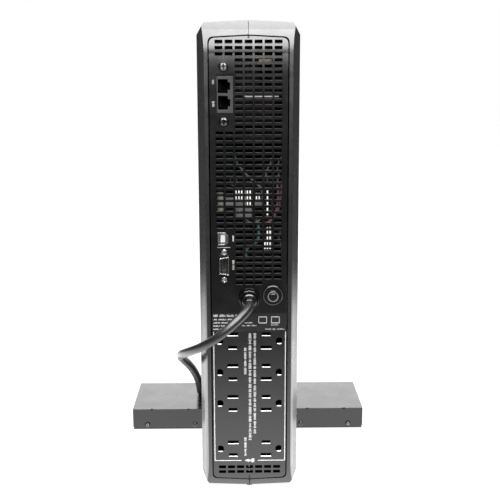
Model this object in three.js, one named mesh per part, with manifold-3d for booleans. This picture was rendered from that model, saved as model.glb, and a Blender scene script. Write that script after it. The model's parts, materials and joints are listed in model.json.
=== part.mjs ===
// An uninterruptible power supply of two rack units, standing upright in its tower stand.
// Millimetres, +Z up. The socket side faces -Y, the display side faces +Y, and z = 0 is the ground.
import * as THREE from "three";
import { mergeGeometries, mergeVertices } from "three/addons/utils/BufferGeometryUtils.js";
import Module from "manifold-3d";

const wasm = await Module();
wasm.setup();

// ---------------------------------------------------------------- driving dimensions
const GAP = 0.3; // between pieces that touch
const WALL = 2.6; // moulded shell
const WIDTH = 88.9; // two rack units
const DEPTH = 230;
const SIDE_LOW = 4.2; // ends of the body at its sides; the ridge along the middle is GABLE further out
const SIDE_HIGH = 425.8;
const GABLE = 1.9;
const RIM_HALF = 38; // half width between the side bevels
const BEVEL_DEPTH = 13.5;
const BEVEL_HEIGHT = 10;
const END_RADIUS = 70; // how the flat ends roll back towards the top and the underside
const END_SPAN = 28;
const CORNER = 4;
const BUTTON_PROUD = 9; // breaker button behind the body
const DISPLAY_PROUD = 2; // display ring in front of it
const REAR = -(DEPTH + BUTTON_PROUD + DISPLAY_PROUD) / 2 + BUTTON_PROUD;
const FRONT = REAR + DEPTH;
const BEZEL_DEPTH = 16;

const PANEL = { half: 33.6, low: 11.2, high: 413, corner: 5.5, skin: 2.4, wall: 2, depth: 14, gap: 1.1 };
const SLOT = { width: 6.7, height: 3.1, pitchX: 8.44, pitchZ: 5.116, topRow: 409.85 };
const SLOT_ROWS = [
  { first: 0, last: 2, from: -3, to: 3 },
  { first: 3, last: 14, from: -1, to: 3 },
  { first: 15, last: 31, from: -3, to: 3 },
  { first: 32, last: 40, from: -1, to: 3 },
  { first: 41, last: 41, from: -1, to: 1 },
];
const LOW_SLOT_ROWS = [23, 17.8];

const JACK = {
  x: -20.4,
  z: 365.9,
  width: 13.9,
  height: 31,
  depth: 15,
  pitch: 13.97,
  mouth: [10.4, 11.8, 12],
  mouthShift: -0.6,
  latchHalf: 3.2,
  slack: 0.35,
  slackAbove: 1.2,
  proud: 0.4,
};
const PANEL_SCREW = { x: JACK.x - 1, head: 4.1, crown: 2.6, proud: 2, rim: 0.9, shank: 1.6, long: 6 };
const USB = { x: -22.9, z: 240.6, width: 9.3, height: 11.3, depth: 14, skin: 0.7 };
const SERIAL = { x: -22, z: 217, width: 8.3, height: 16.6, slant: 1.3, depth: 7, screwPitch: 25 };
const GLAND = { x: 0, z: 187, flange: 9.3, thick: 9, root: 6.6, tip: 4.9, length: 24, chamfer: 1.4 };
const BREAKER = { x: 21.2, z: 189.2, flange: 9.2, sleeve: 5, button: 3.6, sleeveProud: 6 };
const OUTLET_ROWS = [146.2, 116.3, 86.3, 41.4];
const OUTLET = {
  bladePitch: 12.7,
  groundOffset: 11.9,
  longSlot: 10,
  shortSlot: 7.9,
  slotHeight: 3.6,
  ground: 3.4,
};
const SOCKET_BLOCK = { inward: 8, outward: 14.6, deep: 20, past: 13, pocket: 15, busHalf: 3, busThick: 1.2 };
const OUTLET_COLUMNS = [
  { name: "left", x: -15.1, side: -1 },
  { name: "right", x: 15.4, side: 1 },
];

const STAND = { half: 125.8, near: REAR + 137.2, deep: 79.4, top: 24, sheet: 1.2, plate: 0.8, cheek: 22 };
const STAND_SCREWS = [58, 110];
const STAND_RELIEFS = [65, 105];

const CORD = { radius: 3.9, sides: 12, steps: 34 };
const COIL = { x: 2.9, y: FRONT + 77, inner: 29.3, outer: 52.7, height: 15.6 };
const PLUG = { x: 24, y: COIL.y + 68, z: 13.2 };

const DISPLAY = { z: 338, radius: 29, depth: 11, window: [40, 24, 1.6] };
const DOOR = { half: 34, low: 32, high: 208, thick: 3, gap: 0.5 };
const BUTTONS = [
  { name: "power_button", x: 0, z: 288, radius: 6.5 },
  { name: "mute_button", x: -14, z: 264, radius: 4.2 },
  { name: "scroll_button", x: 14, z: 264, radius: 4.2 },
];

// ---------------------------------------------------------------- finishes
const finish = (color, roughness, metalness) => () =>
  new THREE.MeshStandardMaterial({ color, roughness, metalness });
const BLACK_SHELL = finish(0x1d1d1e, 0.42, 0);
const BLACK_PANEL = finish(0x161617, 0.38, 0);
const BLACK_STEEL = finish(0x202022, 0.5, 0.1);
const BLACK_MOULDING = finish(0x0d0d0e, 0.55, 0);
const GREY_MOULDING = finish(0x39393b, 0.5, 0);
const RUBBER = finish(0x121212, 0.85, 0);
const CORD_JACKET = finish(0x2c2c2d, 0.5, 0);
const BRIGHT_STEEL = finish(0xb9bbbe, 0.28, 1);
const BRASS = finish(0xc29a4a, 0.3, 1);
const ALUMINIUM = finish(0xa9acaf, 0.4, 1);
const CORE_STEEL = finish(0x4a4744, 0.55, 0.7);
const WINDING = finish(0xc8961e, 0.6, 0);
const BOARD = finish(0x1f4a2c, 0.6, 0);
const BATTERY_CASE = finish(0x2a2b2e, 0.6, 0);
const WHITE_MOULDING = finish(0xe6e4dc, 0.5, 0);
const LENS = finish(0x10181c, 0.1, 0);

const ups = new THREE.Group();

// ---------------------------------------------------------------- geometry helpers
function solidOf(geometry) {
  const bare = geometry.clone();
  bare.deleteAttribute("normal");
  bare.deleteAttribute("uv");
  const merged = mergeVertices(bare, 1e-4);
  const vertProperties = new Float32Array(merged.attributes.position.array);
  const triVerts = new Uint32Array(merged.index.array);
  return new wasm.Manifold(new wasm.Mesh({ numProp: 3, vertProperties, triVerts }));
}

function geometryOf(solid) {
  const mesh = solid.getMesh();
  const geometry = new THREE.BufferGeometry();
  geometry.setAttribute("position", new THREE.BufferAttribute(mesh.vertProperties, 3));
  geometry.setIndex(new THREE.BufferAttribute(mesh.triVerts, 1));
  return geometry;
}

function join(...geometries) {
  return geometryOf(geometries.map(solidOf).reduce((whole, piece) => whole.add(piece)));
}

function cut(geometry, ...tools) {
  return geometryOf(tools.map(solidOf).reduce((left, tool) => left.subtract(tool), solidOf(geometry)));
}

function common(...geometries) {
  return geometryOf(geometries.map(solidOf).reduce((left, piece) => left.intersect(piece)));
}

function add(name, geometry, material) {
  const mesh = new THREE.Mesh(geometry, material());
  mesh.name = name;
  ups.add(mesh);
}

// A box between two corners.
function block(x0, y0, z0, x1, y1, z1) {
  const box = new THREE.BoxGeometry(x1 - x0, y1 - y0, z1 - z0);
  return box.translate((x0 + x1) / 2, (y0 + y1) / 2, (z0 + z1) / 2);
}

// A round bar along Y from y0 to y1.
function barY(radius, x, z, y0, y1, sides = 24) {
  const bar = new THREE.CylinderGeometry(radius, radius, y1 - y0, sides);
  return bar.translate(0, (y0 + y1) / 2, 0).translate(x, 0, z);
}

// A turned piece along Y: profile points are [radius, y] and run from the low end to the high end.
function turnedY(profile, x, z, sides = 24) {
  const points = profile.map(([radius, y]) => new THREE.Vector2(radius, y));
  return new THREE.LatheGeometry(points, sides).translate(x, 0, z);
}

// An outline in X and Z, drawn as seen from behind the socket side, made solid from y0 to y1.
function plateY(shape, y0, y1, curveSegments = 6) {
  const plate = new THREE.ExtrudeGeometry(shape, { depth: y1 - y0, bevelEnabled: false, curveSegments });
  return plate.rotateX(Math.PI / 2).translate(0, y1, 0);
}

function polygon(points) {
  return new THREE.Shape(points.map(([a, b]) => new THREE.Vector2(a, b)));
}

function roundedRectangle(x0, z0, x1, z1, radius) {
  const shape = new THREE.Shape();
  shape.moveTo(x0 + radius, z0);
  shape.lineTo(x1 - radius, z0);
  shape.absarc(x1 - radius, z0 + radius, radius, -Math.PI / 2, 0);
  shape.lineTo(x1, z1 - radius);
  shape.absarc(x1 - radius, z1 - radius, radius, 0, Math.PI / 2);
  shape.lineTo(x0 + radius, z1);
  shape.absarc(x0 + radius, z1 - radius, radius, Math.PI / 2, Math.PI);
  shape.lineTo(x0, z0 + radius);
  shape.absarc(x0 + radius, z0 + radius, radius, Math.PI, 1.5 * Math.PI);
  return shape;
}

// ---------------------------------------------------------------- the body's outer form
// Side outline in Y and Z: flat ends that roll back near the top and the underside.
function sideOutline(inset) {
  const setback = END_RADIUS - Math.sqrt(END_RADIUS ** 2 - END_SPAN ** 2);
  const low = SIDE_LOW - GABLE + inset;
  const high = SIDE_HIGH + GABLE - inset;
  const rear = REAR + inset;
  const front = FRONT - inset;
  const shape = new THREE.Shape();
  const roll = Math.asin(END_SPAN / END_RADIUS);
  const bow = END_RADIUS - inset;
  shape.absarc(rear + bow, high - END_SPAN, bow, Math.PI - roll, Math.PI, false);
  shape.absarc(rear + bow, low + END_SPAN, bow, Math.PI, Math.PI + roll, false);
  const turn = rear + setback + CORNER;
  shape.absarc(turn, low + CORNER - inset / 2, CORNER, 1.2 * Math.PI, 1.5 * Math.PI, false);
  shape.lineTo(front - CORNER, low - inset / 2);
  shape.absarc(front - CORNER, low + CORNER - inset / 2, CORNER, 1.5 * Math.PI, 2 * Math.PI, false);
  shape.absarc(front - CORNER, high - CORNER + inset / 2, CORNER, 0, Math.PI / 2, false);
  shape.absarc(turn, high - CORNER + inset / 2, CORNER, Math.PI / 2, 0.8 * Math.PI, false);
  return shape;
}

// A slab of the side outline, as wide as the body.
function sideSlab(inset) {
  const slab = new THREE.ExtrudeGeometry(sideOutline(inset), {
    depth: WIDTH,
    bevelEnabled: false,
    curveSegments: 5,
  });
  return slab.translate(0, 0, -WIDTH / 2).rotateY(Math.PI / 2).rotateX(Math.PI / 2);
}

// Plan outline in X and Y, bevelled towards both ends.
function planSlab(inset) {
  const half = WIDTH / 2 - inset;
  const rim = RIM_HALF - inset;
  const outline = polygon([
    [-rim, REAR],
    [rim, REAR],
    [half, REAR + BEVEL_DEPTH],
    [half, FRONT - BEVEL_DEPTH],
    [rim, FRONT],
    [-rim, FRONT],
    [-half, FRONT - BEVEL_DEPTH],
    [-half, REAR + BEVEL_DEPTH],
  ]);
  const slab = new THREE.ExtrudeGeometry(outline, { depth: 2 * SIDE_HIGH, bevelEnabled: false });
  return slab.translate(0, 0, -SIDE_LOW);
}

// End outline in X and Z: gabled top and underside with bevelled corners.
function endOutline(inset) {
  const half = WIDTH / 2 - inset;
  const rim = RIM_HALF - inset;
  const low = SIDE_LOW + inset;
  const high = SIDE_HIGH - inset;
  return polygon([
    [0, low - GABLE],
    [rim, low],
    [half, low + BEVEL_HEIGHT],
    [half, high - BEVEL_HEIGHT],
    [rim, high],
    [0, high + GABLE],
    [-rim, high],
    [-half, high - BEVEL_HEIGHT],
    [-half, low + BEVEL_HEIGHT],
    [-rim, low],
  ]);
}

function bodyBlock(inset) {
  return common(sideSlab(inset), planSlab(inset), plateY(endOutline(inset), REAR - 1, FRONT + 1));
}

// The opening that the socket panel fills, gabled like the body and rounded at its corners.
function panelOutline(grow) {
  const half = PANEL.half + grow;
  const low = PANEL.low - grow;
  const high = PANEL.high + grow;
  const r = PANEL.corner;
  const shape = new THREE.Shape();
  shape.moveTo(0, low - GABLE * 0.8);
  shape.lineTo(half - r, low);
  shape.quadraticCurveTo(half, low, half, low + r);
  shape.lineTo(half, high - r);
  shape.quadraticCurveTo(half, high, half - r, high);
  shape.lineTo(0, high + GABLE * 0.8);
  shape.lineTo(-half + r, high);
  shape.quadraticCurveTo(-half, high, -half, high - r);
  shape.lineTo(-half, low + r);
  shape.quadraticCurveTo(-half, low, -half + r, low);
  return shape;
}

// ---------------------------------------------------------------- shells and bezel
function addShells() {
  const split = FRONT - BEZEL_DEPTH;
  const tub = cut(
    bodyBlock(0),
    bodyBlock(WALL),
    plateY(panelOutline(PANEL.gap), REAR - 1, REAR + PANEL.depth),
    block(-WIDTH, split, 0, WIDTH, FRONT + 1, 2 * SIDE_HIGH),
  );
  const past = 2 * SIDE_HIGH;
  add("left_shell", common(tub, block(-WIDTH, REAR - 1, 0, -GAP / 2, FRONT, past)), BLACK_SHELL);
  add("right_shell", common(tub, block(GAP / 2, REAR - 1, 0, WIDTH, FRONT, past)), BLACK_SHELL);
}

function addBezel() {
  const split = FRONT - BEZEL_DEPTH + GAP;
  const hood = cut(
    bodyBlock(0),
    bodyBlock(WALL + 0.4),
    block(-WIDTH, REAR - 1, 0, WIDTH, split, 2 * SIDE_HIGH),
  );
  const door = block(
    -DOOR.half - DOOR.gap,
    FRONT - 10,
    DOOR.low - DOOR.gap,
    DOOR.half + DOOR.gap,
    FRONT + 1,
    DOOR.high + DOOR.gap,
  );
  const round = barY(DISPLAY.radius + 0.4, 0, DISPLAY.z, FRONT - 10, FRONT + 1, 48);
  const keyHoles = BUTTONS.map((key) => barY(key.radius + 0.35, key.x, key.z, FRONT - 10, FRONT + 1));
  add("front_bezel", cut(hood, door, round, ...keyHoles), BLACK_SHELL);
  add(
    "battery_door",
    block(-DOOR.half, FRONT - DOOR.thick, DOOR.low, DOOR.half, FRONT, DOOR.high),
    BLACK_SHELL,
  );
}

function addControls() {
  const [width, height, thick] = DISPLAY.window;
  const face = FRONT + DISPLAY_PROUD;
  const pocket = block(
    -width / 2 - GAP,
    face - thick - GAP,
    DISPLAY.z - height / 2 - GAP,
    width / 2 + GAP,
    face + 1,
    DISPLAY.z + height / 2 + GAP,
  );
  const drum = turnedY(
    [
      [0, face - DISPLAY.depth],
      [DISPLAY.radius, face - DISPLAY.depth],
      [DISPLAY.radius, face - 1.2],
      [DISPLAY.radius - 1.2, face],
      [0, face],
    ],
    0,
    DISPLAY.z,
    48,
  );
  add("display_housing", cut(drum, pocket), BLACK_MOULDING);
  add(
    "display_window",
    block(-width / 2, face - thick, DISPLAY.z - height / 2, width / 2, face, DISPLAY.z + height / 2),
    LENS,
  );
  for (const key of BUTTONS) {
    const cap = [
      [0, FRONT - 9],
      [key.radius, FRONT - 9],
      [key.radius, FRONT + 0.8],
      [key.radius - 0.6, FRONT + 1.4],
      [0, FRONT + 1.4],
    ];
    add(key.name, turnedY(cap, key.x, key.z), GREY_MOULDING);
  }
  add("control_board", block(-32, FRONT - 12.5, 232, 32, FRONT - 10.9, 380), BOARD);
}

// ---------------------------------------------------------------- socket panel
function slotTools() {
  const tools = [];
  const slot = (x, z) =>
    block(
      x - SLOT.width / 2,
      REAR - 2,
      z - SLOT.height / 2,
      x + SLOT.width / 2,
      REAR + PANEL.depth - 1,
      z + SLOT.height / 2,
    );
  for (const band of SLOT_ROWS) {
    for (let row = band.first; row <= band.last; row += 1) {
      for (let column = band.from; column <= band.to; column += 1) {
        tools.push(slot(column * SLOT.pitchX, SLOT.topRow - row * SLOT.pitchZ));
      }
    }
  }
  for (const z of LOW_SLOT_ROWS) {
    for (let column = -3; column <= 3; column += 1) tools.push(slot(column * SLOT.pitchX, z));
  }
  return mergeGeometries(tools);
}

// The three holes of one socket; grow widens them.
function socketHoles(x, z, side, y0, y1, grow) {
  const half = OUTLET.slotHeight / 2 + grow;
  const groundX = x + side * OUTLET.groundOffset;
  const flat = 0.7 * OUTLET.ground + grow;
  const holes = [OUTLET.longSlot, OUTLET.shortSlot].map((length, index) => {
    const middle = z + (index === 0 ? -side : side) * (OUTLET.bladePitch / 2);
    const reach = length / 2 + grow;
    return block(x - reach, y0, middle - half, x + reach, y1, middle + half);
  });
  const ground = common(
    barY(OUTLET.ground + grow, groundX, z, y0, y1, 12),
    side < 0
      ? block(groundX - flat, y0, z - 9, groundX + 9, y1, z + 9)
      : block(groundX - 9, y0, z - 9, groundX + flat, y1, z + 9),
  );
  return [...holes, ground];
}

function allSocketHoles(y0, y1, grow) {
  return OUTLET_COLUMNS.flatMap((column) =>
    OUTLET_ROWS.flatMap((z) => socketHoles(column.x, z, column.side, y0, y1, grow)),
  );
}

function serialOutline(grow) {
  const half = SERIAL.width / 2 + grow;
  const tall = SERIAL.height / 2 + grow;
  return polygon([
    [SERIAL.x - half, SERIAL.z - tall + SERIAL.slant],
    [SERIAL.x + half, SERIAL.z - tall],
    [SERIAL.x + half, SERIAL.z + tall],
    [SERIAL.x - half, SERIAL.z + tall - SERIAL.slant],
  ]);
}

function usbOutline(grow) {
  const half = USB.width / 2 + grow;
  const tall = USB.height / 2 + grow;
  const chamfer = 2.6;
  return polygon([
    [USB.x - half, USB.z - tall],
    [USB.x + half - chamfer, USB.z - tall],
    [USB.x + half, USB.z - tall + chamfer],
    [USB.x + half, USB.z + tall - chamfer],
    [USB.x + half - chamfer, USB.z + tall],
    [USB.x - half, USB.z + tall],
  ]);
}

function serialScrewHeights() {
  return [SERIAL.z + SERIAL.screwPitch / 2, SERIAL.z - SERIAL.screwPitch / 2];
}

const JACK_SCREWS = [389, 342.9];

function addPanel() {
  const skin = cut(
    common(sideSlab(0), plateY(panelOutline(0), REAR - 1, REAR + PANEL.depth)),
    common(sideSlab(PANEL.skin), plateY(panelOutline(-PANEL.wall), REAR - 1, REAR + PANEL.depth + 1)),
  );
  const through = [REAR - 1, REAR + PANEL.depth - 1];
  const tools = [
    slotTools(),
    plateY(
      roundedRectangle(
        JACK.x - JACK.width / 2 - JACK.slack,
        JACK.z - JACK.height / 2 - JACK.slack,
        JACK.x + JACK.width / 2 + JACK.slack,
        JACK.z + JACK.height / 2 + JACK.slackAbove,
        0.8,
      ),
      ...through,
      2,
    ),
    plateY(usbOutline(GAP), ...through),
    plateY(serialOutline(GAP), ...through),
    barY(GLAND.root + GAP, GLAND.x, GLAND.z, ...through),
    barY(BREAKER.sleeve + GAP + 1, BREAKER.x, BREAKER.z, ...through),
    ...JACK_SCREWS.map((z) => barY(PANEL_SCREW.shank + GAP, PANEL_SCREW.x, z, ...through, 12)),
    ...serialScrewHeights().map((z) => barY(1.6 + GAP, SERIAL.x, z, ...through, 12)),
    ...allSocketHoles(...through, 0),
  ];
  add("rear_panel", cut(skin, ...tools), BLACK_PANEL);
}

// Moulded blocks behind the socket holes, each with pockets for the blades.
function addSocketBlocks() {
  const face = REAR + PANEL.skin + GAP;
  const { inward, outward, deep, past, pocket, busHalf, busThick } = SOCKET_BLOCK;
  const low = OUTLET_ROWS.at(-1) - past;
  const high = OUTLET_ROWS[0] + past;
  for (const column of OUTLET_COLUMNS) {
    const inner = column.x - column.side * inward;
    const outer = column.x + column.side * outward;
    const body = block(Math.min(inner, outer), face, low, Math.max(inner, outer), face + deep, high);
    const pockets = OUTLET_ROWS.flatMap((z) =>
      socketHoles(column.x, z, column.side, face - 1, face + pocket, 0.25),
    );
    add(`socket_block_${column.name}`, cut(body, ...pockets), BLACK_MOULDING);
    const bus = column.x - column.side * 2;
    const back = face + deep + GAP;
    add(
      `socket_bus_${column.name}`,
      block(bus - busHalf, back, low + past / 2, bus + busHalf, back + busThick, high - past / 2),
      BRASS,
    );
  }
}

function addNetworkJack() {
  const face = REAR - JACK.proud;
  const [width, height, deep] = JACK.mouth;
  const body = block(
    JACK.x - JACK.width / 2,
    face,
    JACK.z - JACK.height / 2,
    JACK.x + JACK.width / 2,
    face + JACK.depth,
    JACK.z + JACK.height / 2,
  );
  const mouths = [1, -1].flatMap((side) => {
    const z = JACK.z + (side * JACK.pitch) / 2;
    const x = JACK.x + JACK.mouthShift;
    return [
      block(x - width / 2, face - 1, z - height / 2, x + width / 2 - 2, face + deep, z + height / 2),
      block(x, face - 1, z - JACK.latchHalf, x + width / 2, face + deep, z + JACK.latchHalf),
    ];
  });
  add("network_jack", cut(body, ...mouths), GREY_MOULDING);
  const { x, head, crown, proud, rim, shank, long } = PANEL_SCREW;
  const profile = [
    [0, REAR - proud],
    [crown, REAR - proud],
    [head, REAR - rim],
    [head, REAR - GAP],
    [shank, REAR - GAP],
    [shank, REAR + long],
    [0, REAR + long],
  ];
  JACK_SCREWS.forEach((z, index) => {
    const screw = cut(turnedY(profile, x, z), ...crossSlots(x, z, REAR - proud, 2.4, 0.45));
    add(`panel_screw_${index + 1}`, screw, BRIGHT_STEEL);
  });
}

// A cross recess in a screw head whose top is at y.
function crossSlots(x, z, y, reach, half) {
  return [
    block(x - reach, y - 1, z - half, x + reach, y + 0.9, z + half),
    block(x - half, y - 1, z - reach, x + half, y + 0.9, z + reach),
  ];
}

function addUsbPort() {
  const face = REAR - 0.5;
  const tube = cut(
    plateY(usbOutline(0), face, face + USB.depth),
    plateY(usbOutline(-USB.skin), face - 1, face + USB.depth - 1.5),
  );
  add("usb_shell", tube, BRIGHT_STEEL);
  const floor = face + USB.depth - 1.5;
  add(
    "usb_tongue",
    block(USB.x - 2.2, face + 1.5, USB.z - 3.3, USB.x + 1.8, floor - GAP, USB.z + 3.3),
    WHITE_MOULDING,
  );
}

function addSerialPort() {
  const face = REAR - 5.8;
  const floor = face + SERIAL.depth;
  add(
    "serial_shell",
    cut(plateY(serialOutline(0), face, floor + 3), plateY(serialOutline(-0.6), face - 1, floor + 4)),
    BRIGHT_STEEL,
  );
  const base = plateY(serialOutline(-0.6 - GAP), floor, floor + 3);
  const pins = [];
  for (let pin = 0; pin < 9; pin += 1) {
    const wide = pin < 5;
    const x = SERIAL.x + (wide ? 1.42 : -1.42);
    const z = SERIAL.z + (wide ? pin - 2 : pin - 6.5) * 2.77;
    pins.push(barY(0.5, x, z, face + 1.2, floor + 1, 6));
  }
  add("serial_insert", join(base, ...pins), BLACK_MOULDING);
  serialScrewHeights().forEach((z, index) => {
    const post = turnedY(
      [
        [0, REAR - 1.2],
        [1.3, REAR - 1.2],
        [1.3, REAR - 5.2],
        [2.5, REAR - 5.2],
        [2.7, REAR - 4.9],
        [2.7, REAR - GAP],
        [1.6, REAR - GAP],
        [1.6, REAR + 6],
        [0, REAR + 6],
      ],
      SERIAL.x,
      z,
      6,
    );
    add(`serial_screw_${index + 1}`, post, BRIGHT_STEEL);
  });
  add("interface_board", block(-31, REAR + 15.2, 200, -12.4, REAR + 16.8, 396), BOARD);
}

function addBreaker() {
  const { x, z, flange, sleeve, button, sleeveProud } = BREAKER;
  const ring = turnedY(
    [
      [button + GAP, REAR - sleeveProud],
      [sleeve, REAR - sleeveProud],
      [sleeve, REAR - 2.6],
      [flange - 0.8, REAR - 2.6],
      [flange, REAR - 1.8],
      [flange, REAR - GAP],
      [sleeve + 0.9, REAR - GAP],
      [sleeve + 0.9, REAR + 24],
      [button + GAP, REAR + 24],
      [button + GAP, REAR - sleeveProud],
    ],
    x,
    z,
    32,
  );
  add("breaker_body", ring, BLACK_MOULDING);
  const cap = [
    [0, REAR - BUTTON_PROUD],
    [button - 0.6, REAR - BUTTON_PROUD],
    [button, REAR - BUTTON_PROUD + 0.6],
    [button, REAR + 14],
    [0, REAR + 14],
  ];
  add("breaker_button", turnedY(cap, x, z), BLACK_MOULDING);
}

// ---------------------------------------------------------------- mains lead
function addGland() {
  const { x, z, flange, thick, root, tip, length, chamfer } = GLAND;
  const profile = [
    [0, REAR - length],
    [tip, REAR - length],
    [root, REAR - thick - 2],
    [flange - chamfer, REAR - thick],
    [flange, REAR - thick + chamfer],
    [flange, REAR - GAP],
    [root, REAR - GAP],
    [root, REAR + 10],
    [0, REAR + 10],
  ];
  add("cord_gland", turnedY(profile, x, z, 28), BLACK_MOULDING);
}

// The lead's free route: out of the gland, round the side, onto the stand and down behind the body.
const CORD_ROUTE = [
  [0, REAR - 24.9, 187],
  [-0.3, REAR - 31, 186.6],
  [-3.6, REAR - 39, 184.3],
  [-9.7, REAR - 45.5, 179.9],
  [-20, REAR - 50, 171.6],
  [-30.4, REAR - 49, 163.2],
  [-40.7, REAR - 42, 155.2],
  [-50.5, REAR - 30, 147.4],
  [-58.6, REAR - 13, 139.2],
  [-63, REAR + 11, 129],
  [-62.5, REAR + 38, 116],
  [-59, REAR + 64, 101.5],
  [-55.5, REAR + 90, 85],
  [-53.2, REAR + 118, 66],
  [-52.6, REAR + 143, 48],
  [-53, REAR + 163, 35],
  [-53.3, REAR + 180, 29.3],
  [-53.5, REAR + 197, 28.5],
  [-53.6, REAR + 214, 28.9],
  [-53.6, REAR + 229, 25],
  [-53.4, REAR + 243, 14.5],
  [-52.6, REAR + 257, 6.4],
  [-51.6, REAR + 269, 4.4],
  [-50.9, REAR + 282, 4.3],
];

// From the coil to the plug beside it.
const TAIL_ROUTE = [
  [COIL.x - 54.6, COIL.y + 16.7, 11.7],
  [COIL.x - 49.4, COIL.y + 34, 9.6],
  [COIL.x - 40.4, COIL.y + 50, 8],
  [COIL.x - 28.9, COIL.y + 62, 9.4],
  [PLUG.x - 42, PLUG.y - 0.5, 12.8],
  [PLUG.x - 34.9, PLUG.y, PLUG.z],
];

function tube(route, steps) {
  const curve = new THREE.CatmullRomCurve3(route.map((p) => new THREE.Vector3(...p)), false, "centripetal");
  const section = new THREE.Shape();
  section.absarc(0, 0, CORD.radius, 0, 2 * Math.PI);
  return new THREE.ExtrudeGeometry(section, {
    steps,
    curveSegments: CORD.sides / 2,
    bevelEnabled: false,
    extrudePath: curve,
  });
}

// A closed ring with eased edges about a vertical axis.
function ringZ(inner, outer, height, ease, sides) {
  const profile = [
    [inner, ease],
    [inner + ease, 0],
    [outer - ease, 0],
    [outer, ease],
    [outer, height - ease],
    [outer - ease, height],
    [inner + ease, height],
    [inner, height - ease],
    [inner, ease],
  ];
  return new THREE.LatheGeometry(
    profile.map(([radius, z]) => new THREE.Vector2(radius, z)),
    sides,
  ).rotateX(Math.PI / 2);
}

function addLead() {
  add("power_cord", tube(CORD_ROUTE, CORD.steps), CORD_JACKET);
  add("cord_tail", tube(TAIL_ROUTE, 4), CORD_JACKET);
  const { x, y, inner, outer, height } = COIL;
  add("cord_coil", ringZ(inner, outer, height, 2, 40).translate(x, y, 0), CORD_JACKET);
  const loop = cut(
    block(-2.2, -outer - 1.5, 0.1, 2.2, -inner + 1.5, height + 1.6),
    block(-3, -outer - GAP, -1, 3, -inner + GAP, height + GAP),
  );
  add("cord_tie", loop.translate(x, y, 0), RUBBER);
}

function plugOutline(x, y, z) {
  const grip = polygon([
    [x - 16.5, y - 6],
    [x - 8, y - 8.5],
    [x + 2, y - 9],
    [x + 5, y - 12.5],
    [x + 12.5, y - 12.5],
    [x + 12.5, y + 12.5],
    [x + 5, y + 12.5],
    [x + 2, y + 9],
    [x - 8, y + 8.5],
    [x - 16.5, y + 6],
  ]);
  return new THREE.ExtrudeGeometry(grip, { depth: 26, bevelEnabled: false }).translate(0, 0, z - 13.5);
}

// The plug lies on its flat side, its cable end towards -X.
function addPlug() {
  const { x, y, z } = PLUG;
  const along = (profile, sides) => turnedY(profile, 0, 0, sides).rotateZ(-Math.PI / 2).translate(x, y, z);
  const neck = along(
    [
      [0, -34],
      [4.9, -34],
      [6.6, -14],
      [0, -14],
    ],
    16,
  );
  const body = block(x - 16, y - 12, z - 13, x + 12, y + 12, z + 11);
  add("plug_body", join(neck, common(body, plugOutline(x, y, z))), CORD_JACKET);
  const blade = (name, offset, wide) => {
    const middle = z - 2.5;
    const [y0, y1] = [y + offset - 0.75, y + offset + 0.75];
    add(name, block(x + 12 + GAP, y0, middle - wide / 2, x + 29, y1, middle + wide / 2), BRASS);
  };
  blade("plug_blade_neutral", -OUTLET.bladePitch / 2, 7.9);
  blade("plug_blade_line", OUTLET.bladePitch / 2, 6.3);
  const pin = [
    [0, 12 + GAP],
    [2.4, 12 + GAP],
    [2.4, 30],
    [1.4, 32.4],
    [0, 32.4],
  ];
  add("plug_ground_pin", along(pin, 16).translate(0, 0, 6.4), BRASS);
}

// ---------------------------------------------------------------- stand
// A bent sheet: the plate under everything, a cheek either side of the body, and tabs for the screws.
function addStand() {
  const { half, near, deep, sheet, plate, cheek } = STAND;
  const far = near + deep;
  const top = plate + sheet;
  const pieces = [block(-half + 0.4, near + 0.4, plate, half - 0.4, far - 0.4, top)];
  for (const side of [-1, 1]) {
    const inner = side * (WIDTH / 2 + GAP);
    const outer = inner + side * sheet;
    pieces.push(
      block(Math.min(inner, outer), near + 4, plate, Math.max(inner, outer), far - 4, cheek),
    );
    for (const at of STAND_SCREWS) {
      pieces.push(
        block(side * at - 7, near + sheet + GAP, plate, side * at + 7, near + 2 * sheet + GAP, 12),
      );
    }
  }
  const holes = [-1, 1].flatMap((side) =>
    STAND_SCREWS.map((at) => barY(1.5 + GAP, side * at, 6.2, near - 1, near + 5, 10)),
  );
  add("stand_base", cut(join(...pieces), ...holes), BLACK_STEEL);
  addWing("left", -1);
  addWing("right", 1);
}

// A folded cover, open below and towards the body.
function addWing(name, side) {
  const { half, near, deep, top, sheet, plate } = STAND;
  const far = near + deep;
  const inner = WIDTH / 2 + GAP + sheet + GAP;
  const low = plate + sheet + GAP;
  const span = (a, b) => [Math.min(side * a, side * b), Math.max(side * a, side * b)];
  const [x0, x1] = span(inner, half);
  const [hollow0, hollow1] = span(inner - 2, half - sheet);
  const outline = wingOutline(x0, x1, side, low, top);
  const cover = cut(
    plateY(outline, near, far, 3),
    block(hollow0, near + sheet, 0, hollow1, far - sheet, top - sheet),
    ...STAND_SCREWS.map((at) => barY(1.5 + GAP, side * at, 6.2, near - 1, near + 5, 10)),
    ...STAND_RELIEFS.map((at) =>
      block(side * at - 1.3, near - 1, top - 0.9, side * at + 1.3, near + 0.9, top + 1),
    ),
  );
  add(`stand_wing_${name}`, cover, BLACK_STEEL);
  STAND_SCREWS.forEach((at, index) => {
    const profile = [
      [0, near - 1.8],
      [1.6, near - 1.8],
      [2.7, near - 1],
      [2.7, near - GAP],
      [1.5, near - GAP],
      [1.5, near + 7],
      [0, near + 7],
    ];
    const recess = crossSlots(side * at, 6.2, near - 1.8, 1.4, 0.3);
    const screw = cut(turnedY(profile, side * at, 6.2, 16), ...recess);
    add(`stand_screw_${name}_${index + 1}`, screw, BRIGHT_STEEL);
  });
  const [pad0, pad1] = span(half - 34, half - 6);
  add(`stand_pad_${name}`, block(pad0, near + 8, 0, pad1, far - 8, plate - 0.1), RUBBER);
}

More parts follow.
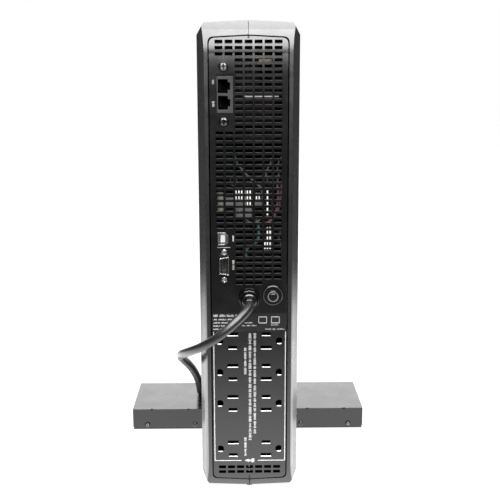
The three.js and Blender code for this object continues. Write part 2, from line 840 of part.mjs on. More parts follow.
// The near face of a wing, with its outer lower corner rounded.
function wingOutline(x0, x1, side, low, top) {
  const r = 2.2;
  const shape = new THREE.Shape();
  shape.moveTo(side > 0 ? x0 : x0 + r, low);
  if (side > 0) {
    shape.lineTo(x1 - r, low);
    shape.quadraticCurveTo(x1, low, x1, low + r);
  } else {
    shape.lineTo(x1, low);
  }
  shape.lineTo(x1, top);
  shape.lineTo(x0, top);
  if (side < 0) {
    shape.lineTo(x0, low + r);
    shape.quadraticCurveTo(x0, low, x0 + r, low);
  }
  return shape;
}

function addRearFoot() {
  const ridge = SIDE_LOW - GABLE;
  add("rear_foot", block(-2.6, REAR + 9, 0, 2.6, REAR + 34, ridge - GAP), RUBBER);
}

// ---------------------------------------------------------------- what the body holds
function addBatteries() {
  const [width, long, tall] = [65, 151, 94];
  const near = FRONT - BEZEL_DEPTH - 2 - long;
  const floor = SIDE_LOW + WALL + 1.8;
  ["lower", "upper"].forEach((name, index) => {
    const low = floor + index * (tall + 3);
    const case_ = block(-width / 2, near, low, width / 2, near + long, low + tall);
    const seat = low + tall;
    const lid = block(-width / 2 + 3, near + 3, seat - 1, width / 2 - 3, near + long - 3, seat + 1.5);
    add(`battery_${name}`, join(case_, lid), BATTERY_CASE);
  });
  const cradle = cut(
    block(-width / 2 - 2, near - 2, floor, width / 2 + 2, near + long, floor + 60),
    block(-width / 2 - GAP, near - GAP, floor - 1, width / 2 + GAP, near + long + 1, floor + 61),
  );
  add("battery_cradle", cradle, BLACK_STEEL);
}

function addTransformer() {
  const z = 366;
  const near = REAR + 26;
  const core = cut(
    block(-36, near + 12, z - 40, 36, near + 62, z + 40),
    block(-23, near + 11, z - 28, -12, near + 63, z + 28),
    block(12, near + 11, z - 28, 23, near + 63, z + 28),
  );
  add("transformer_core", core, CORE_STEEL);
  const winding = cut(
    plateY(roundedRectangle(-22, z - 27, 22, z + 27, 6), near, near + 74),
    block(-12 - GAP, near + 11, z - 28, 12 + GAP, near + 63, z + 28),
    block(-40, near + 12 - GAP, z - 50, -23, near + 62 + GAP, z + 50),
    block(23, near + 12 - GAP, z - 50, 40, near + 62 + GAP, z + 50),
  );
  const clear = common(winding, block(-22.7, near - 1, z - 27.7, 22.7, near + 75, z + 27.7));
  add("transformer_winding", clear, WINDING);
  add("transformer_bracket", block(-36, near + 12, z - 43.5, 36, near + 62, z - 40.5), BRIGHT_STEEL);
}

// A comb: a back plate with fins that point at the vents.
function heatSink(x0, x1, y0, z0, z1, fins) {
  const pitch = (x1 - x0 - 2) / (fins - 1);
  const pieces = [block(x0, y0 + 22, z0, x1, y0 + 26, z1)];
  for (let fin = 0; fin < fins; fin += 1) {
    const x = x0 + fin * pitch;
    pieces.push(block(x, y0, z0, x + 2, y0 + 23, z1));
  }
  return join(...pieces);
}

function addElectronics() {
  const near = REAR + 22;
  add("main_board", block(33, near, 214, 34.6, near + 150, 306), BOARD);
  add("heat_sink_upper", heatSink(-14, 28, near + 6, 258, 292, 7), ALUMINIUM);
  add("heat_sink_lower", heatSink(8, 28, near + 6, 216, 250, 4), ALUMINIUM);
  [232, 262].forEach((z, index) => {
    const can = new THREE.CylinderGeometry(10, 10, 32, 20).rotateZ(Math.PI / 2);
    add(`capacitor_${index + 1}`, can.translate(33 - GAP - 16, near + 62, z), BATTERY_CASE);
  });
  add("relay", block(-30, near + 8, 256, -17, near + 30, 286), WHITE_MOULDING);
  add("relay_board", block(-33, near + 2, 250, -31.4, near + 60, 292), BOARD);
}

addShells();
addBezel();
addControls();
addPanel();
addSocketBlocks();
addNetworkJack();
addUsbPort();
addSerialPort();
addBreaker();
addGland();
addLead();
addPlug();
addStand();
addRearFoot();
addBatteries();
addTransformer();
addElectronics();

export default ups;
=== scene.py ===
"""Looks for an uninterruptible power supply that stands upright in its tower stand."""

import json
import math
import random

import bmesh
import bpy
from mathutils import Matrix, Vector

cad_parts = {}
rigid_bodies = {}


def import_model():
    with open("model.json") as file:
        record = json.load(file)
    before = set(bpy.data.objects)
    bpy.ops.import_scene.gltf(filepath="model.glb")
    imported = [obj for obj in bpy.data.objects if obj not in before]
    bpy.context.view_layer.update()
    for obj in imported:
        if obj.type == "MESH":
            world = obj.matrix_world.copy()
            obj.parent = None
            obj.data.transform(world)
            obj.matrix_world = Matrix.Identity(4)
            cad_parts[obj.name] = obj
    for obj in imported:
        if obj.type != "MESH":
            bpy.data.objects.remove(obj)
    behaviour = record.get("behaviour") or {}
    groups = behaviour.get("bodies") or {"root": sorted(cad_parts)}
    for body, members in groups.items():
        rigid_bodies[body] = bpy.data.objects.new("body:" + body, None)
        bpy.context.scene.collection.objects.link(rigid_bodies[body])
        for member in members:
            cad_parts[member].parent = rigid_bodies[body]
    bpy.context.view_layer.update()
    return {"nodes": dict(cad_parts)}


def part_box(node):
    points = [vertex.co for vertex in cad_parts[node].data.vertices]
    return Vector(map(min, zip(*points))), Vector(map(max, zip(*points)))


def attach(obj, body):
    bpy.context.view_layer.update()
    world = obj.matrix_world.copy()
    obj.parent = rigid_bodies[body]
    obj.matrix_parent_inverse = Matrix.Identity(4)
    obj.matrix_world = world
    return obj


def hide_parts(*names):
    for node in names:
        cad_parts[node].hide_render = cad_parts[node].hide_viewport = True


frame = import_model()
NODES = frame["nodes"]
MM = 0.001
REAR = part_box("rear_panel")[0].y
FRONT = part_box("battery_door")[1].y
random.seed(7)


# ---------------------------------------------------------------- camera
LENS_MM, SENSOR_MM = 60.75, 36
CAMERA_AT = (-0.00896, -0.84231, 0.38504)
# degrees: down, aside and over
PITCH, YAW, ROLL = 11.94, -0.768, 0.125


def add_camera():
    data = bpy.data.cameras.new("camera")
    data.lens = LENS_MM
    data.sensor_width = SENSOR_MM
    camera = bpy.data.objects.new("camera", data)
    bpy.context.scene.collection.objects.link(camera)
    pitch, yaw, roll = (math.radians(angle) for angle in (PITCH, YAW, ROLL))
    turn = Matrix.Rotation(yaw, 4, "Z") @ Matrix.Rotation(math.pi / 2 - pitch, 4, "X")
    camera.matrix_world = (
        Matrix.Translation(CAMERA_AT)
        @ turn
        @ Matrix.Rotation(-roll, 4, "Z")
    )
    bpy.context.scene.camera = camera


add_camera()


# ---------------------------------------------------------------- small helpers
def link(obj, body="case"):
    bpy.context.scene.collection.objects.link(obj)
    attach(obj, body)
    return obj


def new_mesh(name, build, mat, body="case", smooth=True, sharp=35):
    """A mesh object whose bmesh is filled in by build(bm)."""
    bm = bmesh.new()
    build(bm)
    bmesh.ops.recalc_face_normals(bm, faces=bm.faces)
    data = bpy.data.meshes.new(name)
    bm.to_mesh(data)
    bm.free()
    data.materials.append(mat)
    if smooth:
        data.polygons.foreach_set("use_smooth", [True] * len(data.polygons))
        data.set_sharp_from_angle(angle=math.radians(sharp))
    return link(bpy.data.objects.new(name, data), body)


def box_into(bm, low, high, bevel=0.0, segments=2):
    """A box between two corners, with its edges eased."""
    low, high = Vector(low), Vector(high)
    size = high - low
    made = bmesh.ops.create_cube(bm, size=1.0)["verts"]
    for v in made:
        v.co = low + Vector((v.co[i] + 0.5) * size[i] for i in range(3))
    if bevel > 0:
        edges = list({e for v in made for e in v.link_edges})
        bmesh.ops.bevel(
            bm, geom=edges, offset=bevel, segments=segments, profile=0.6, affect="EDGES"
        )


def round_steps(sides):
    """Cosine and sine at even steps round a circle."""
    angles = [2 * math.pi * i / sides for i in range(sides)]
    return [(math.cos(angle), math.sin(angle)) for angle in angles]


def skin_into(bm, rings):
    """Joins rings of points with a wall, and gives back their vertices."""
    made = [[bm.verts.new(p) for p in ring] for ring in rings]
    count = len(made[0])
    for a, b in zip(made, made[1:]):
        for i in range(count):
            j = (i + 1) % count
            bm.faces.new((a[i], b[i], b[j], a[j]))
    return made


def rings_into(bm, rings):
    """A solid skinned over closed rings of points, with both ends capped."""
    made = skin_into(bm, rings)
    bm.faces.new(made[0])
    bm.faces.new(list(reversed(made[-1])))


def catmull(points, per_span):
    """Points along a centripetal Catmull-Rom curve through the given ones."""
    pts = [Vector(p) for p in points]
    pts = [2 * pts[0] - pts[1], *pts, 2 * pts[-1] - pts[-2]]
    out = []
    for i in range(1, len(pts) - 2):
        p = pts[i - 1 : i + 3]
        t = [0.0]
        for a, b in zip(p, p[1:]):
            t.append(t[-1] + max((b - a).length, 1e-9) ** 0.5)
        for s in range(per_span):
            u = t[1] + (t[2] - t[1]) * s / per_span
            a1 = p[0] * ((t[1] - u) / (t[1] - t[0])) + p[1] * ((u - t[0]) / (t[1] - t[0]))
            a2 = p[1] * ((t[2] - u) / (t[2] - t[1])) + p[2] * ((u - t[1]) / (t[2] - t[1]))
            a3 = p[2] * ((t[3] - u) / (t[3] - t[2])) + p[3] * ((u - t[2]) / (t[3] - t[2]))
            b1 = a1 * ((t[2] - u) / (t[2] - t[0])) + a2 * ((u - t[0]) / (t[2] - t[0]))
            b2 = a2 * ((t[3] - u) / (t[3] - t[1])) + a3 * ((u - t[1]) / (t[3] - t[1]))
            out.append(b1 * ((t[2] - u) / (t[2] - t[1])) + b2 * ((u - t[1]) / (t[2] - t[1])))
    out.append(pts[-2])
    return out


def tube_curve(name, points, radius, mat, resolution=6):
    data = bpy.data.curves.new(name, "CURVE")
    data.dimensions = "3D"
    data.bevel_depth = radius
    data.bevel_resolution = resolution
    data.use_fill_caps = True
    spline = data.splines.new("POLY")
    spline.points.add(len(points) - 1)
    for slot, p in zip(spline.points, points):
        slot.co = (*p, 1.0)
    spline.use_smooth = True
    data.materials.append(mat)
    return link(bpy.data.objects.new(name, data))


# ---------------------------------------------------------------- materials
def add_node(tree, kind, values=None, links=None, **settings):
    """A shader node: its settings, then the fixed values and the links of its inputs."""
    node = tree.nodes.new("ShaderNode" + kind)
    for name, value in settings.items():
        setattr(node, name, value)
    for socket, value in (values or {}).items():
        node.inputs[socket].default_value = value
    for socket, source in (links or {}).items():
        tree.links.new(source, node.inputs[socket])
    return node


def feed(shader, socket, source):
    shader.id_data.links.new(source, shader.inputs[socket])


def principled(mat):
    return mat.node_tree.nodes["Principled BSDF"]


def node_material(name, base, rough, metallic=0.0, specular=0.5, coat=0.0, coat_rough=0.1):
    mat = bpy.data.materials.new(name)
    mat.use_nodes = True
    shader = principled(mat)
    for socket, value in (
        ("Base Color", (*base, 1)),
        ("Roughness", rough),
        ("Metallic", metallic),
        ("Specular IOR Level", specular),
        ("Coat Weight", coat),
        ("Coat Roughness", coat_rough),
    ):
        shader.inputs[socket].default_value = value
    return mat, mat.node_tree, shader


def coordinates(tree, stretch=(1, 1, 1)):
    place = add_node(tree, "TexCoord").outputs["Object"]
    return add_node(tree, "Mapping", {"Scale": stretch}, {"Vector": place}).outputs["Vector"]


def axis(tree, vector, letter):
    return add_node(tree, "SeparateXYZ", None, {"Vector": vector}).outputs[letter]


def math_node(tree, operation, first, second):
    links = {0: first, 1: second}
    return add_node(tree, "Math", None, links, operation=operation).outputs["Value"]


def vector_math(tree, operation, vector, by=None, output="Vector"):
    values = None if by is None else {1: by}
    made = add_node(tree, "VectorMath", values, {0: vector}, operation=operation)
    return made.outputs[output]


def noise(tree, vector, scale, detail=3.0, rough=0.55):
    values = {"Scale": scale, "Detail": detail, "Roughness": rough}
    return add_node(tree, "TexNoise", values, {"Vector": vector}).outputs["Fac"]


def remap(tree, value, low, high, start=0.3, end=0.7, curve="LINEAR"):
    """Takes start to end onto low to high."""
    values = {"From Min": start, "From Max": end, "To Min": low, "To Max": high}
    made = add_node(tree, "MapRange", values, {"Value": value}, interpolation_type=curve)
    return made.outputs["Result"]


def two_tone(tree, factor, dark, light):
    values = {"A": (*dark, 1), "B": (*light, 1)}
    return add_node(tree, "Mix", values, {"Factor": factor}, data_type="RGBA").outputs["Result"]


def bump(tree, height, strength, distance, shader):
    values = {"Strength": strength, "Distance": distance}
    made = add_node(tree, "Bump", values, {"Height": height})
    feed(shader, "Normal", made.outputs["Normal"])


def bow(mat, start, end, depth):
    """Leans the shading back more and more between two heights; the mesh stays as it is."""
    tree = mat.node_tree
    along = remap(tree, axis(tree, coordinates(tree), "Z"), 0, 1, start, end)
    square = add_node(tree, "Math", {1: 2}, {0: along}, operation="POWER").outputs["Value"]
    lean = add_node(tree, "Bump", {"Distance": depth}, {"Height": square}, invert=True)
    last = principled(mat).inputs["Normal"].links[0].from_node
    while last.inputs["Normal"].is_linked:
        last = last.inputs["Normal"].links[0].from_node
    tree.links.new(lean.outputs["Normal"], last.inputs["Normal"])


# shares of a screw head's width: where painted shade darkens its rim, and where the painted shade of its
# cross ends
RIM_SHADE_FADE = (0.3, 0.38)
CROSS_SHADE_FADE = (0.045, 0.06)
# how deep the finest relief is, in metres
SCRATCH = 0.00002
GRAIN = 0.00003
ORANGE_PEEL = 0.00005


def screw_head(name, rim, bright, rough):
    """A plated screw: bright in the middle, with shade painted dark into the ring round it and into its
    cross.
    """
    mat, tree, shader = node_material(name, bright, rough, metallic=1.0)
    place = add_node(tree, "TexCoord").outputs["Generated"]
    centred = vector_math(tree, "SUBTRACT", place, (0.5, 0, 0.5))
    flat = vector_math(tree, "MULTIPLY", centred, (1, 0, 1))
    reach = vector_math(tree, "LENGTH", flat, output="Value")
    ring = remap(tree, reach, 0, 1, *RIM_SHADE_FADE)
    size = vector_math(tree, "ABSOLUTE", flat)
    nearest = math_node(tree, "MINIMUM", axis(tree, size, "X"), axis(tree, size, "Z"))
    shade_of_cross = remap(tree, nearest, 1, 0, *CROSS_SHADE_FADE)
    # painted shade: the rim ring and the cross recess both take the dark colour
    painted_screw_shade = math_node(tree, "MAXIMUM", ring, shade_of_cross)
    feed(shader, "Base Color", two_tone(tree, painted_screw_shade, bright, rim))
    streak = noise(tree, coordinates(tree), 700, 3)
    feed(shader, "Roughness", remap(tree, streak, rough - 0.05, rough + 0.1))
    bump(tree, streak, 0.15, SCRATCH, shader)
    return mat


def scaled(color, factor):
    return tuple(c * factor for c in color)


def moulded(
    name, base, rough, grain=1400, depth=GRAIN, strength=0.25, vary=0.16, **sockets
):
    """Moulded plastic or rubber: spark-eroded grain, faint cloudiness and uneven gloss."""
    mat, tree, shader = node_material(name, base, rough, **sockets)
    vector = coordinates(tree)
    cloud = noise(tree, vector, 22, 4)
    feed(shader, "Base Color", two_tone(tree, cloud, scaled(base, 1 - vary), scaled(base, 1 + vary)))
    smudge = noise(tree, vector, 60, 5, 0.6)
    feed(shader, "Roughness", remap(tree, smudge, rough - 0.035, rough + 0.045))
    bump(tree, noise(tree, vector, grain, 2), strength, depth, shader)
    return mat


def powder_coat(name, base, rough):
    """Powder coat on sheet steel: orange peel over a finer speckle."""
    mat, tree, shader = node_material(name, base, rough)
    vector = coordinates(tree)
    speck = noise(tree, vector, 900, 2)
    tones = scaled(base, 0.82), scaled(base, 1.22)
    feed(shader, "Base Color", two_tone(tree, remap(tree, speck, 0, 1), *tones))
    feed(shader, "Roughness", remap(tree, noise(tree, vector, 45, 4), rough - 0.04, rough + 0.05))
    bump(tree, noise(tree, vector, 700, 3), 0.35, ORANGE_PEEL, shader)
    return mat


def metal(name, base, rough, stretch=(1, 1, 1), scale=500, strength=0.12):
    """Plated or drawn metal: fine scratches in one direction and a little tarnish."""
    mat, tree, shader = node_material(name, base, rough, metallic=1.0)
    streak = noise(tree, coordinates(tree, stretch), scale, 3)
    tarnish = noise(tree, coordinates(tree), 120, 4)
    feed(shader, "Base Color", two_tone(tree, tarnish, scaled(base, 0.8), base))
    feed(shader, "Roughness", remap(tree, streak, rough - 0.06, rough + 0.1))
    bump(tree, streak, strength, SCRATCH, shader)
    return mat


def banded(name, base, other, rough, direction, pitch, mix=0.5, depth=0.0001):
    """Layers or wraps: bands across one direction, such as laminations or tape turns."""
    mat, tree, shader = node_material(name, base, rough)
    vector = coordinates(tree)
    # a wave texture of scale 1 repeats every 0.314 units
    values = {"Scale": 0.314 / pitch, "Distortion": 1.2, "Detail": 2.0, "Detail Scale": 1.5}
    made = add_node(tree, "TexWave", values, {"Vector": vector}, bands_direction=direction)
    wave = made.outputs["Fac"]
    bands = two_tone(tree, remap(tree, wave, 0, mix, 0, 1), base, other)
    feed(shader, "Base Color", bands)
    gloss = remap(tree, noise(tree, vector, 200, 3), rough - 0.08, rough + 0.08)
    feed(shader, "Roughness", gloss)
    bump(tree, wave, 0.5, depth, shader)
    return mat


def circuit_board(name):
    """Solder mask with lighter traces under it."""
    mat, tree, shader = node_material(name, (0.002, 0.009, 0.0045), 0.32)
    values = {
        "Scale": 260,
        "Mortar Size": 0.03,
        "Color1": (0.0016, 0.008, 0.004, 1),
        "Color2": (0.0024, 0.011, 0.0055, 1),
        "Mortar": (0.004, 0.018, 0.009, 1),
    }
    brick = add_node(tree, "TexBrick", values, {"Vector": coordinates(tree)})
    feed(shader, "Base Color", brick.outputs["Color"])
    bump(tree, brick.outputs["Fac"], 0.3, 0.00004, shader)
    return mat


def panel_plastic(name, base, printed, rough, label_low, label_top):
    """Moulded panel with a printed band across it that is a little paler."""
    mat = moulded(name, base, rough, grain=1700, strength=0.2)
    tree = mat.node_tree
    vector = coordinates(tree)
    height = axis(tree, vector, "Z")
    edge = 0.0001
    below = remap(tree, height, 1, 0, label_top - edge, label_top + edge)
    above = remap(tree, height, 0, 1, label_low - edge, label_low + edge)
    cloud = noise(tree, vector, 30, 4)
    links = {
        "Factor": math_node(tree, "MULTIPLY", below, above),
        "A": two_tone(tree, cloud, scaled(base, 0.86), scaled(base, 1.14)),
        "B": two_tone(tree, cloud, scaled(printed, 0.88), scaled(printed, 1.12)),
    }
    choose = add_node(tree, "Mix", None, links, data_type="RGBA")
    tree.links.new(choose.outputs["Result"], principled(mat).inputs["Base Color"])
    return mat


def change_behind(mat, start, end, socket, near, far):
    """Changes one property of a material with depth: near side of start, far side of end."""
    tree = mat.node_tree
    wanted = principled(mat).inputs[socket]
    depth = remap(tree, axis(tree, coordinates(tree), "Y"), 0, 1, start, end)
    if wanted.type == "RGBA":
        tree.links.new(two_tone(tree, depth, near, far), wanted)
    else:
        tree.links.new(remap(tree, depth, near, far, 0, 1), wanted)


def shine(mat, level):
    principled(mat).inputs["Specular IOR Level"].default_value = level


# heights of the printed band
LABEL_LOW, LABEL_TOP = 0.1553, 0.1722
SHELL = moulded("shell_plastic", (0.019, 0.019, 0.0194), 0.28, grain=1800, strength=0.1)
PANEL_BLACK, PRINTED_BLACK = (0.0026, 0.0026, 0.0027), (0.014, 0.014, 0.0142)
PANEL = panel_plastic("panel_plastic", PANEL_BLACK, PRINTED_BLACK, 0.25, LABEL_LOW, LABEL_TOP)
# heights where the lean starts and ends, and how deep it is
for leaning, start, end, depth in (
    (PANEL, 0.384, 0.42, 0.0034),
    (PANEL, 0.24, 0.4, 0.0052),
    (SHELL, 0.404, 0.42, 0.0004),
    (SHELL, 0.2, 0.42, 0.013),
):
    bow(leaning, start, end, depth)
STEEL_BLACK = powder_coat("stand_coat", (0.006, 0.006, 0.0062), 0.28)
shine(STEEL_BLACK, 0.36)
BLACK = moulded("black_moulding", (0.004, 0.004, 0.0041), 0.23, grain=1900, strength=0.12)
# dark moulding for the cradle and relay, also used as painted shade in the shell seams and the stand
# notches
DARK = moulded("dark_inside_and_shade_paint", (0.003, 0.003, 0.003), 0.6, grain=1200, strength=0.3)
GREY = moulded("grey_moulding", (0.038, 0.037, 0.036), 0.4, grain=1700, strength=0.2)
PIN_BASE = moulded("pin_base", (0.03, 0.026, 0.021), 0.45, grain=1500, strength=0.2)
RUBBER = moulded("rubber", (0.012, 0.012, 0.012), 0.72, grain=900, strength=0.5, depth=0.00006)
JACKET = moulded("cord_vinyl", (0.012, 0.012, 0.0122), 0.34, grain=1100, strength=0.12)
NICKEL = metal("nickel", (0.62, 0.61, 0.59), 0.2, stretch=(1, 1, 6))
DARK_ZINC = metal("dark_zinc", (0.05, 0.05, 0.05), 0.34, scale=900)
SCREW = screw_head("panel_screw", (0.012, 0.012, 0.012), (0.34, 0.335, 0.33), 0.28)
STAND_SCREW = screw_head("stand_screw", (0.01, 0.01, 0.01), (0.16, 0.16, 0.16), 0.34)
BRASS = metal("brass", (0.42, 0.3, 0.13), 0.3, stretch=(6, 1, 1))
DIM_BRASS = metal("dim_brass", (0.07, 0.05, 0.022), 0.4)
ANODISED = metal("anodised", (0.022, 0.022, 0.023), 0.45, stretch=(1, 1, 12), scale=300)
STRAP = moulded("plated_strap", (0.26, 0.255, 0.245), 0.35, vary=0.2, strength=0.1)
CORE = banded("laminations", (0.006, 0.0055, 0.005), (0.002, 0.002, 0.002), 0.5, "Z", 0.0011)
PAPER = banded("winding_paper", (0.03, 0.018, 0.011), (0.006, 0.004, 0.003), 0.5, "X", 0.0035, mix=0.9)
TAPE = banded("winding_tape", (0.1, 0.08, 0.018), (0.03, 0.022, 0.008), 0.42, "X", 0.0035, mix=0.9)
BOARD = circuit_board("solder_mask")
BATTERY = moulded("battery_plastic", (0.012, 0.012, 0.013), 0.45, grain=800, strength=0.3)
WHITE = moulded("nylon", (0.86, 0.85, 0.82), 0.42, vary=0.05, strength=0.15)
CREAM = moulded("cream_moulding", (0.055, 0.055, 0.036), 0.45, vary=0.2, strength=0.2)
PALE_GREY = moulded("pale_grey_moulding", (0.03, 0.03, 0.029), 0.45, vary=0.2, strength=0.2)
# painted highlight: the vent sills are pale grey, far paler than the black panel they are moulded with, so
# they show as bright lines of caught light
VENT_SILL_HIGHLIGHT = moulded("vent_sill", (0.11, 0.11, 0.11), 0.3, vary=0.2, strength=0.05)
SILL = metal("socket_sill", (0.24, 0.235, 0.225), 0.3)
INK = moulded("white_ink", (0.66, 0.66, 0.66), 0.5, vary=0.04, strength=0.1)
LENS = moulded("lens", (0.006, 0.008, 0.01), 0.12, vary=0.1, strength=0.02, coat=0.6, coat_rough=0.03)
# painted highlights: pale rings on the breaker's nut and flange stand in for the light their edges catch
NUT_RING_HIGHLIGHT = moulded("nut_ring_highlight_paint", (0.24, 0.24, 0.235), 0.3, vary=0.05, strength=0.05)
FLANGE_RING_HIGHLIGHT = moulded("flange_ring_highlight_paint", (0.09, 0.09, 0.09), 0.35, vary=0.05, strength=0.05)
SEGMENT = moulded("display_segment", (0.03, 0.035, 0.034), 0.35, vary=0.05, strength=0.05)
WIRE_GREEN = moulded("green_wire", (0.003, 0.032, 0.026), 0.4, strength=0.1)
WIRE_YELLOW = moulded("yellow_wire", (0.035, 0.03, 0.01), 0.4, strength=0.1)
WIRE_RED = moulded("red_wire", (0.036, 0.003, 0.005), 0.4, strength=0.1)
WIRE_BROWN = moulded("brown_wire", (0.02, 0.013, 0.006), 0.4, strength=0.1)
WIRE_GREY = moulded("grey_wire", (0.014, 0.014, 0.013), 0.4, strength=0.1)
WIRE_BLACK = moulded("black_wire", (0.006, 0.006, 0.006), 0.4, strength=0.1)

JACK = moulded("jack_moulding", (0.03, 0.0292, 0.0285), 0.4, grain=1700, strength=0.2)
# painted shade: deeper than 0.8 mm into the mouths the grey turns near black and loses its gloss, as the
# shade inside them
change_behind(JACK, REAR, REAR + 0.0008, "Base Color", (0.042, 0.041, 0.04), (0.002, 0.002, 0.002))
change_behind(JACK, REAR, REAR + 0.0008, "Specular IOR Level", 0.5, 0.04)
FITTING = moulded("gland_moulding", (0.0025, 0.0025, 0.0026), 0.26, grain=1900, strength=0.05)
change_behind(FITTING, REAR - 0.0096, REAR - 0.0092, "Specular IOR Level", 0.9, 0.06)

for hidden in (CORE, PAPER, BOARD, DARK, BATTERY, RUBBER):
    shine(hidden, 0.12)

FINISHES = {
    "shell_black": SHELL,
    "panel_black": PANEL,
    "stand_black": STEEL_BLACK,
    "moulding_black": BLACK,
    "moulding_grey": GREY,
    "rubber_black": RUBBER,
    "cord_jacket": JACKET,
    "bright_steel": NICKEL,
    "brass": BRASS,
    "aluminium": ANODISED,
    "core_steel": CORE,
    "winding_tape": PAPER,
    "circuit_board": BOARD,
    "battery_case": BATTERY,
    "moulding_white": WHITE,
    "display_lens": LENS,
}


# ---------------------------------------------------------------- finish on the CAD pieces
# how far the edges of a piece are eased, in mm
EASE = {
    "rear_panel": 0.4,
    "left_shell": 1.0,
    "right_shell": 1.0,
    "front_bezel": 0.6,
    "stand_wing_left": 0.5,
    "stand_wing_right": 0.5,
    "stand_base": 0.3,
    "battery_door": 0.6,
    "battery_lower": 1.5,
    "battery_upper": 1.5,
    "network_jack": 0.15,
    "serial_insert": 0.05,
    "usb_shell": 0.12,
    "serial_shell": 0.12,
}
SMALL_EASE = 0.2
WELD = 0.00002
# degrees: faces this nearly level are joined, and edges sharper than this are eased
LEVEL, SHARP = 0.4, 32
# pieces whose finish isn't quite that of their slot
OWN_FINISH = {
    "stand_screw_left_1": DARK_ZINC,
    "stand_screw_right_1": DARK_ZINC,
    "stand_screw_left_2": STAND_SCREW,
    "stand_screw_right_2": STAND_SCREW,
    "panel_screw_1": SCREW,
    "panel_screw_2": SCREW,
    "network_jack": JACK,
    "serial_insert": PIN_BASE,
    "battery_cradle": DARK,
    "transformer_bracket": DARK_ZINC,
    "relay": DARK,
}


def finish_node(name, obj):
    slot_name = obj.data.materials[0].name.split(".")[0]
    obj.material_slots[0].material = OWN_FINISH.get(name, FINISHES[slot_name])
    obj.data.polygons.foreach_set("use_smooth", [True] * len(obj.data.polygons))
    weld = obj.modifiers.new("weld", "WELD")
    weld.merge_threshold = WELD
    flat = obj.modifiers.new("flat", "DECIMATE")
    flat.decimate_type = "DISSOLVE"
    flat.angle_limit = math.radians(LEVEL)
    ease = obj.modifiers.new("ease", "BEVEL")
    ease.width = EASE.get(name, SMALL_EASE) * MM
    ease.segments = 2
    ease.limit_method = "ANGLE"
    ease.angle_limit = math.radians(SHARP)
    ease.harden_normals = False
    ease.use_clamp_overlap = True
    even = obj.modifiers.new("even", "WEIGHTED_NORMAL")
    even.keep_sharp = True
    even.weight = 80


for node_name, node in NODES.items():
    finish_node(node_name, node)


# ---------------------------------------------------------------- the mains lead
# where the lead leaves the strain relief
EXIT = (0, REAR - 0.0249, 0.187)
CORD_RADIUS = 0.0039
COIL_CENTRE = (0.0029, FRONT + 0.077)
OUTER, MIDDLE, INNER = 0.0488, 0.041, 0.0332
COIL_LEAVES = 0.0568
LAYERS = (0.0039, 0.0117)
PLUG_AT = (0.024, COIL_CENTRE[1] + 0.068, 0.0132)

LEAD_ROUTE = [
    EXIT,
    (-0.0003, REAR - 0.031, 0.1866),
    (-0.0036, REAR - 0.039, 0.1843),
    (-0.0097, REAR - 0.0455, 0.1799),
    (-0.02, REAR - 0.05, 0.1716),
    (-0.0304, REAR - 0.049, 0.1632),
    (-0.0407, REAR - 0.042, 0.1552),
    (-0.0505, REAR - 0.03, 0.1474),
    (-0.0586, REAR - 0.013, 0.1392),
    (-0.063, REAR + 0.011, 0.129),
    (-0.0625, REAR + 0.038, 0.116),
    (-0.059, REAR + 0.064, 0.1015),
    (-0.0555, REAR + 0.09, 0.085),
    (-0.0532, REAR + 0.118, 0.066),
    (-0.0526, REAR + 0.143, 0.048),
    (-0.053, REAR + 0.163, 0.035),
    (-0.0533, REAR + 0.18, 0.0293),
    (-0.0535, REAR + 0.197, 0.0285),
    (-0.0536, REAR + 0.214, 0.0289),
    (-0.0536, REAR + 0.229, 0.025),
    (-0.0534, REAR + 0.243, 0.0145),
    (-0.0526, REAR + 0.257, 0.0064),
    (-0.0516, REAR + 0.269, 0.0044),
    (-0.0509, REAR + 0.282, 0.0043),
]
TAIL_ROUTE = [
    (COIL_CENTRE[0] - 0.0546, COIL_CENTRE[1] + 0.0167, 0.0117),
    (COIL_CENTRE[0] - 0.0494, COIL_CENTRE[1] + 0.034, 0.0096),
    (COIL_CENTRE[0] - 0.0404, COIL_CENTRE[1] + 0.05, 0.008),
    (COIL_CENTRE[0] - 0.0289, COIL_CENTRE[1] + 0.062, 0.0094),
    (PLUG_AT[0] - 0.042, PLUG_AT[1] - 0.0005, 0.0128),
    (PLUG_AT[0] - 0.0349, PLUG_AT[1], PLUG_AT[2]),
]


def smooth_step(t):
    t = min(max(t, 0.0), 1.0)
    return t * t * (3 - 2 * t)


def coil_points():
    """Turns lie in three columns and two layers; degrees run clockwise from where the lead arrives."""
    # (degree where a change starts, degree where it ends, new radius, new height)
    changes = [
        (300, 350, MIDDLE, LAYERS[0]),
        (660, 710, INNER, LAYERS[0]),
        (950, 1005, INNER, LAYERS[1]),
        (1250, 1300, MIDDLE, LAYERS[1]),
        (1610, 1660, OUTER, LAYERS[1]),
        (1765, 1815, COIL_LEAVES, LAYERS[1]),
    ]
    points = []
    for degree in range(14, 1806, 16):
        radius, height = OUTER, LAYERS[0]
        for start, end, to_radius, to_height in changes:
            share = smooth_step((degree - start) / (end - start))
            radius += (to_radius - radius) * share
            height += (to_height - height) * share
        angle = math.radians(180 - degree)
        points.append(
            (
                COIL_CENTRE[0] + radius * math.cos(angle),
                COIL_CENTRE[1] + radius * math.sin(angle),
                height,
            )
        )
    return points


POINTS_PER_SPAN = 4
lead_points = catmull([*LEAD_ROUTE, *coil_points(), *TAIL_ROUTE], POINTS_PER_SPAN)
lead = tube_curve("mains_lead", lead_points, CORD_RADIUS, JACKET)
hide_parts("power_cord", "cord_tail", "cord_coil")


# ---------------------------------------------------------------- strain relief, tie and plug
def facet(angle, count):
    """How far a regular polygon's edge is from its centre, as a share of its corner's distance."""
    step = 2 * math.pi / count
    return math.cos(step / 2) / math.cos(angle % step - step / 2)


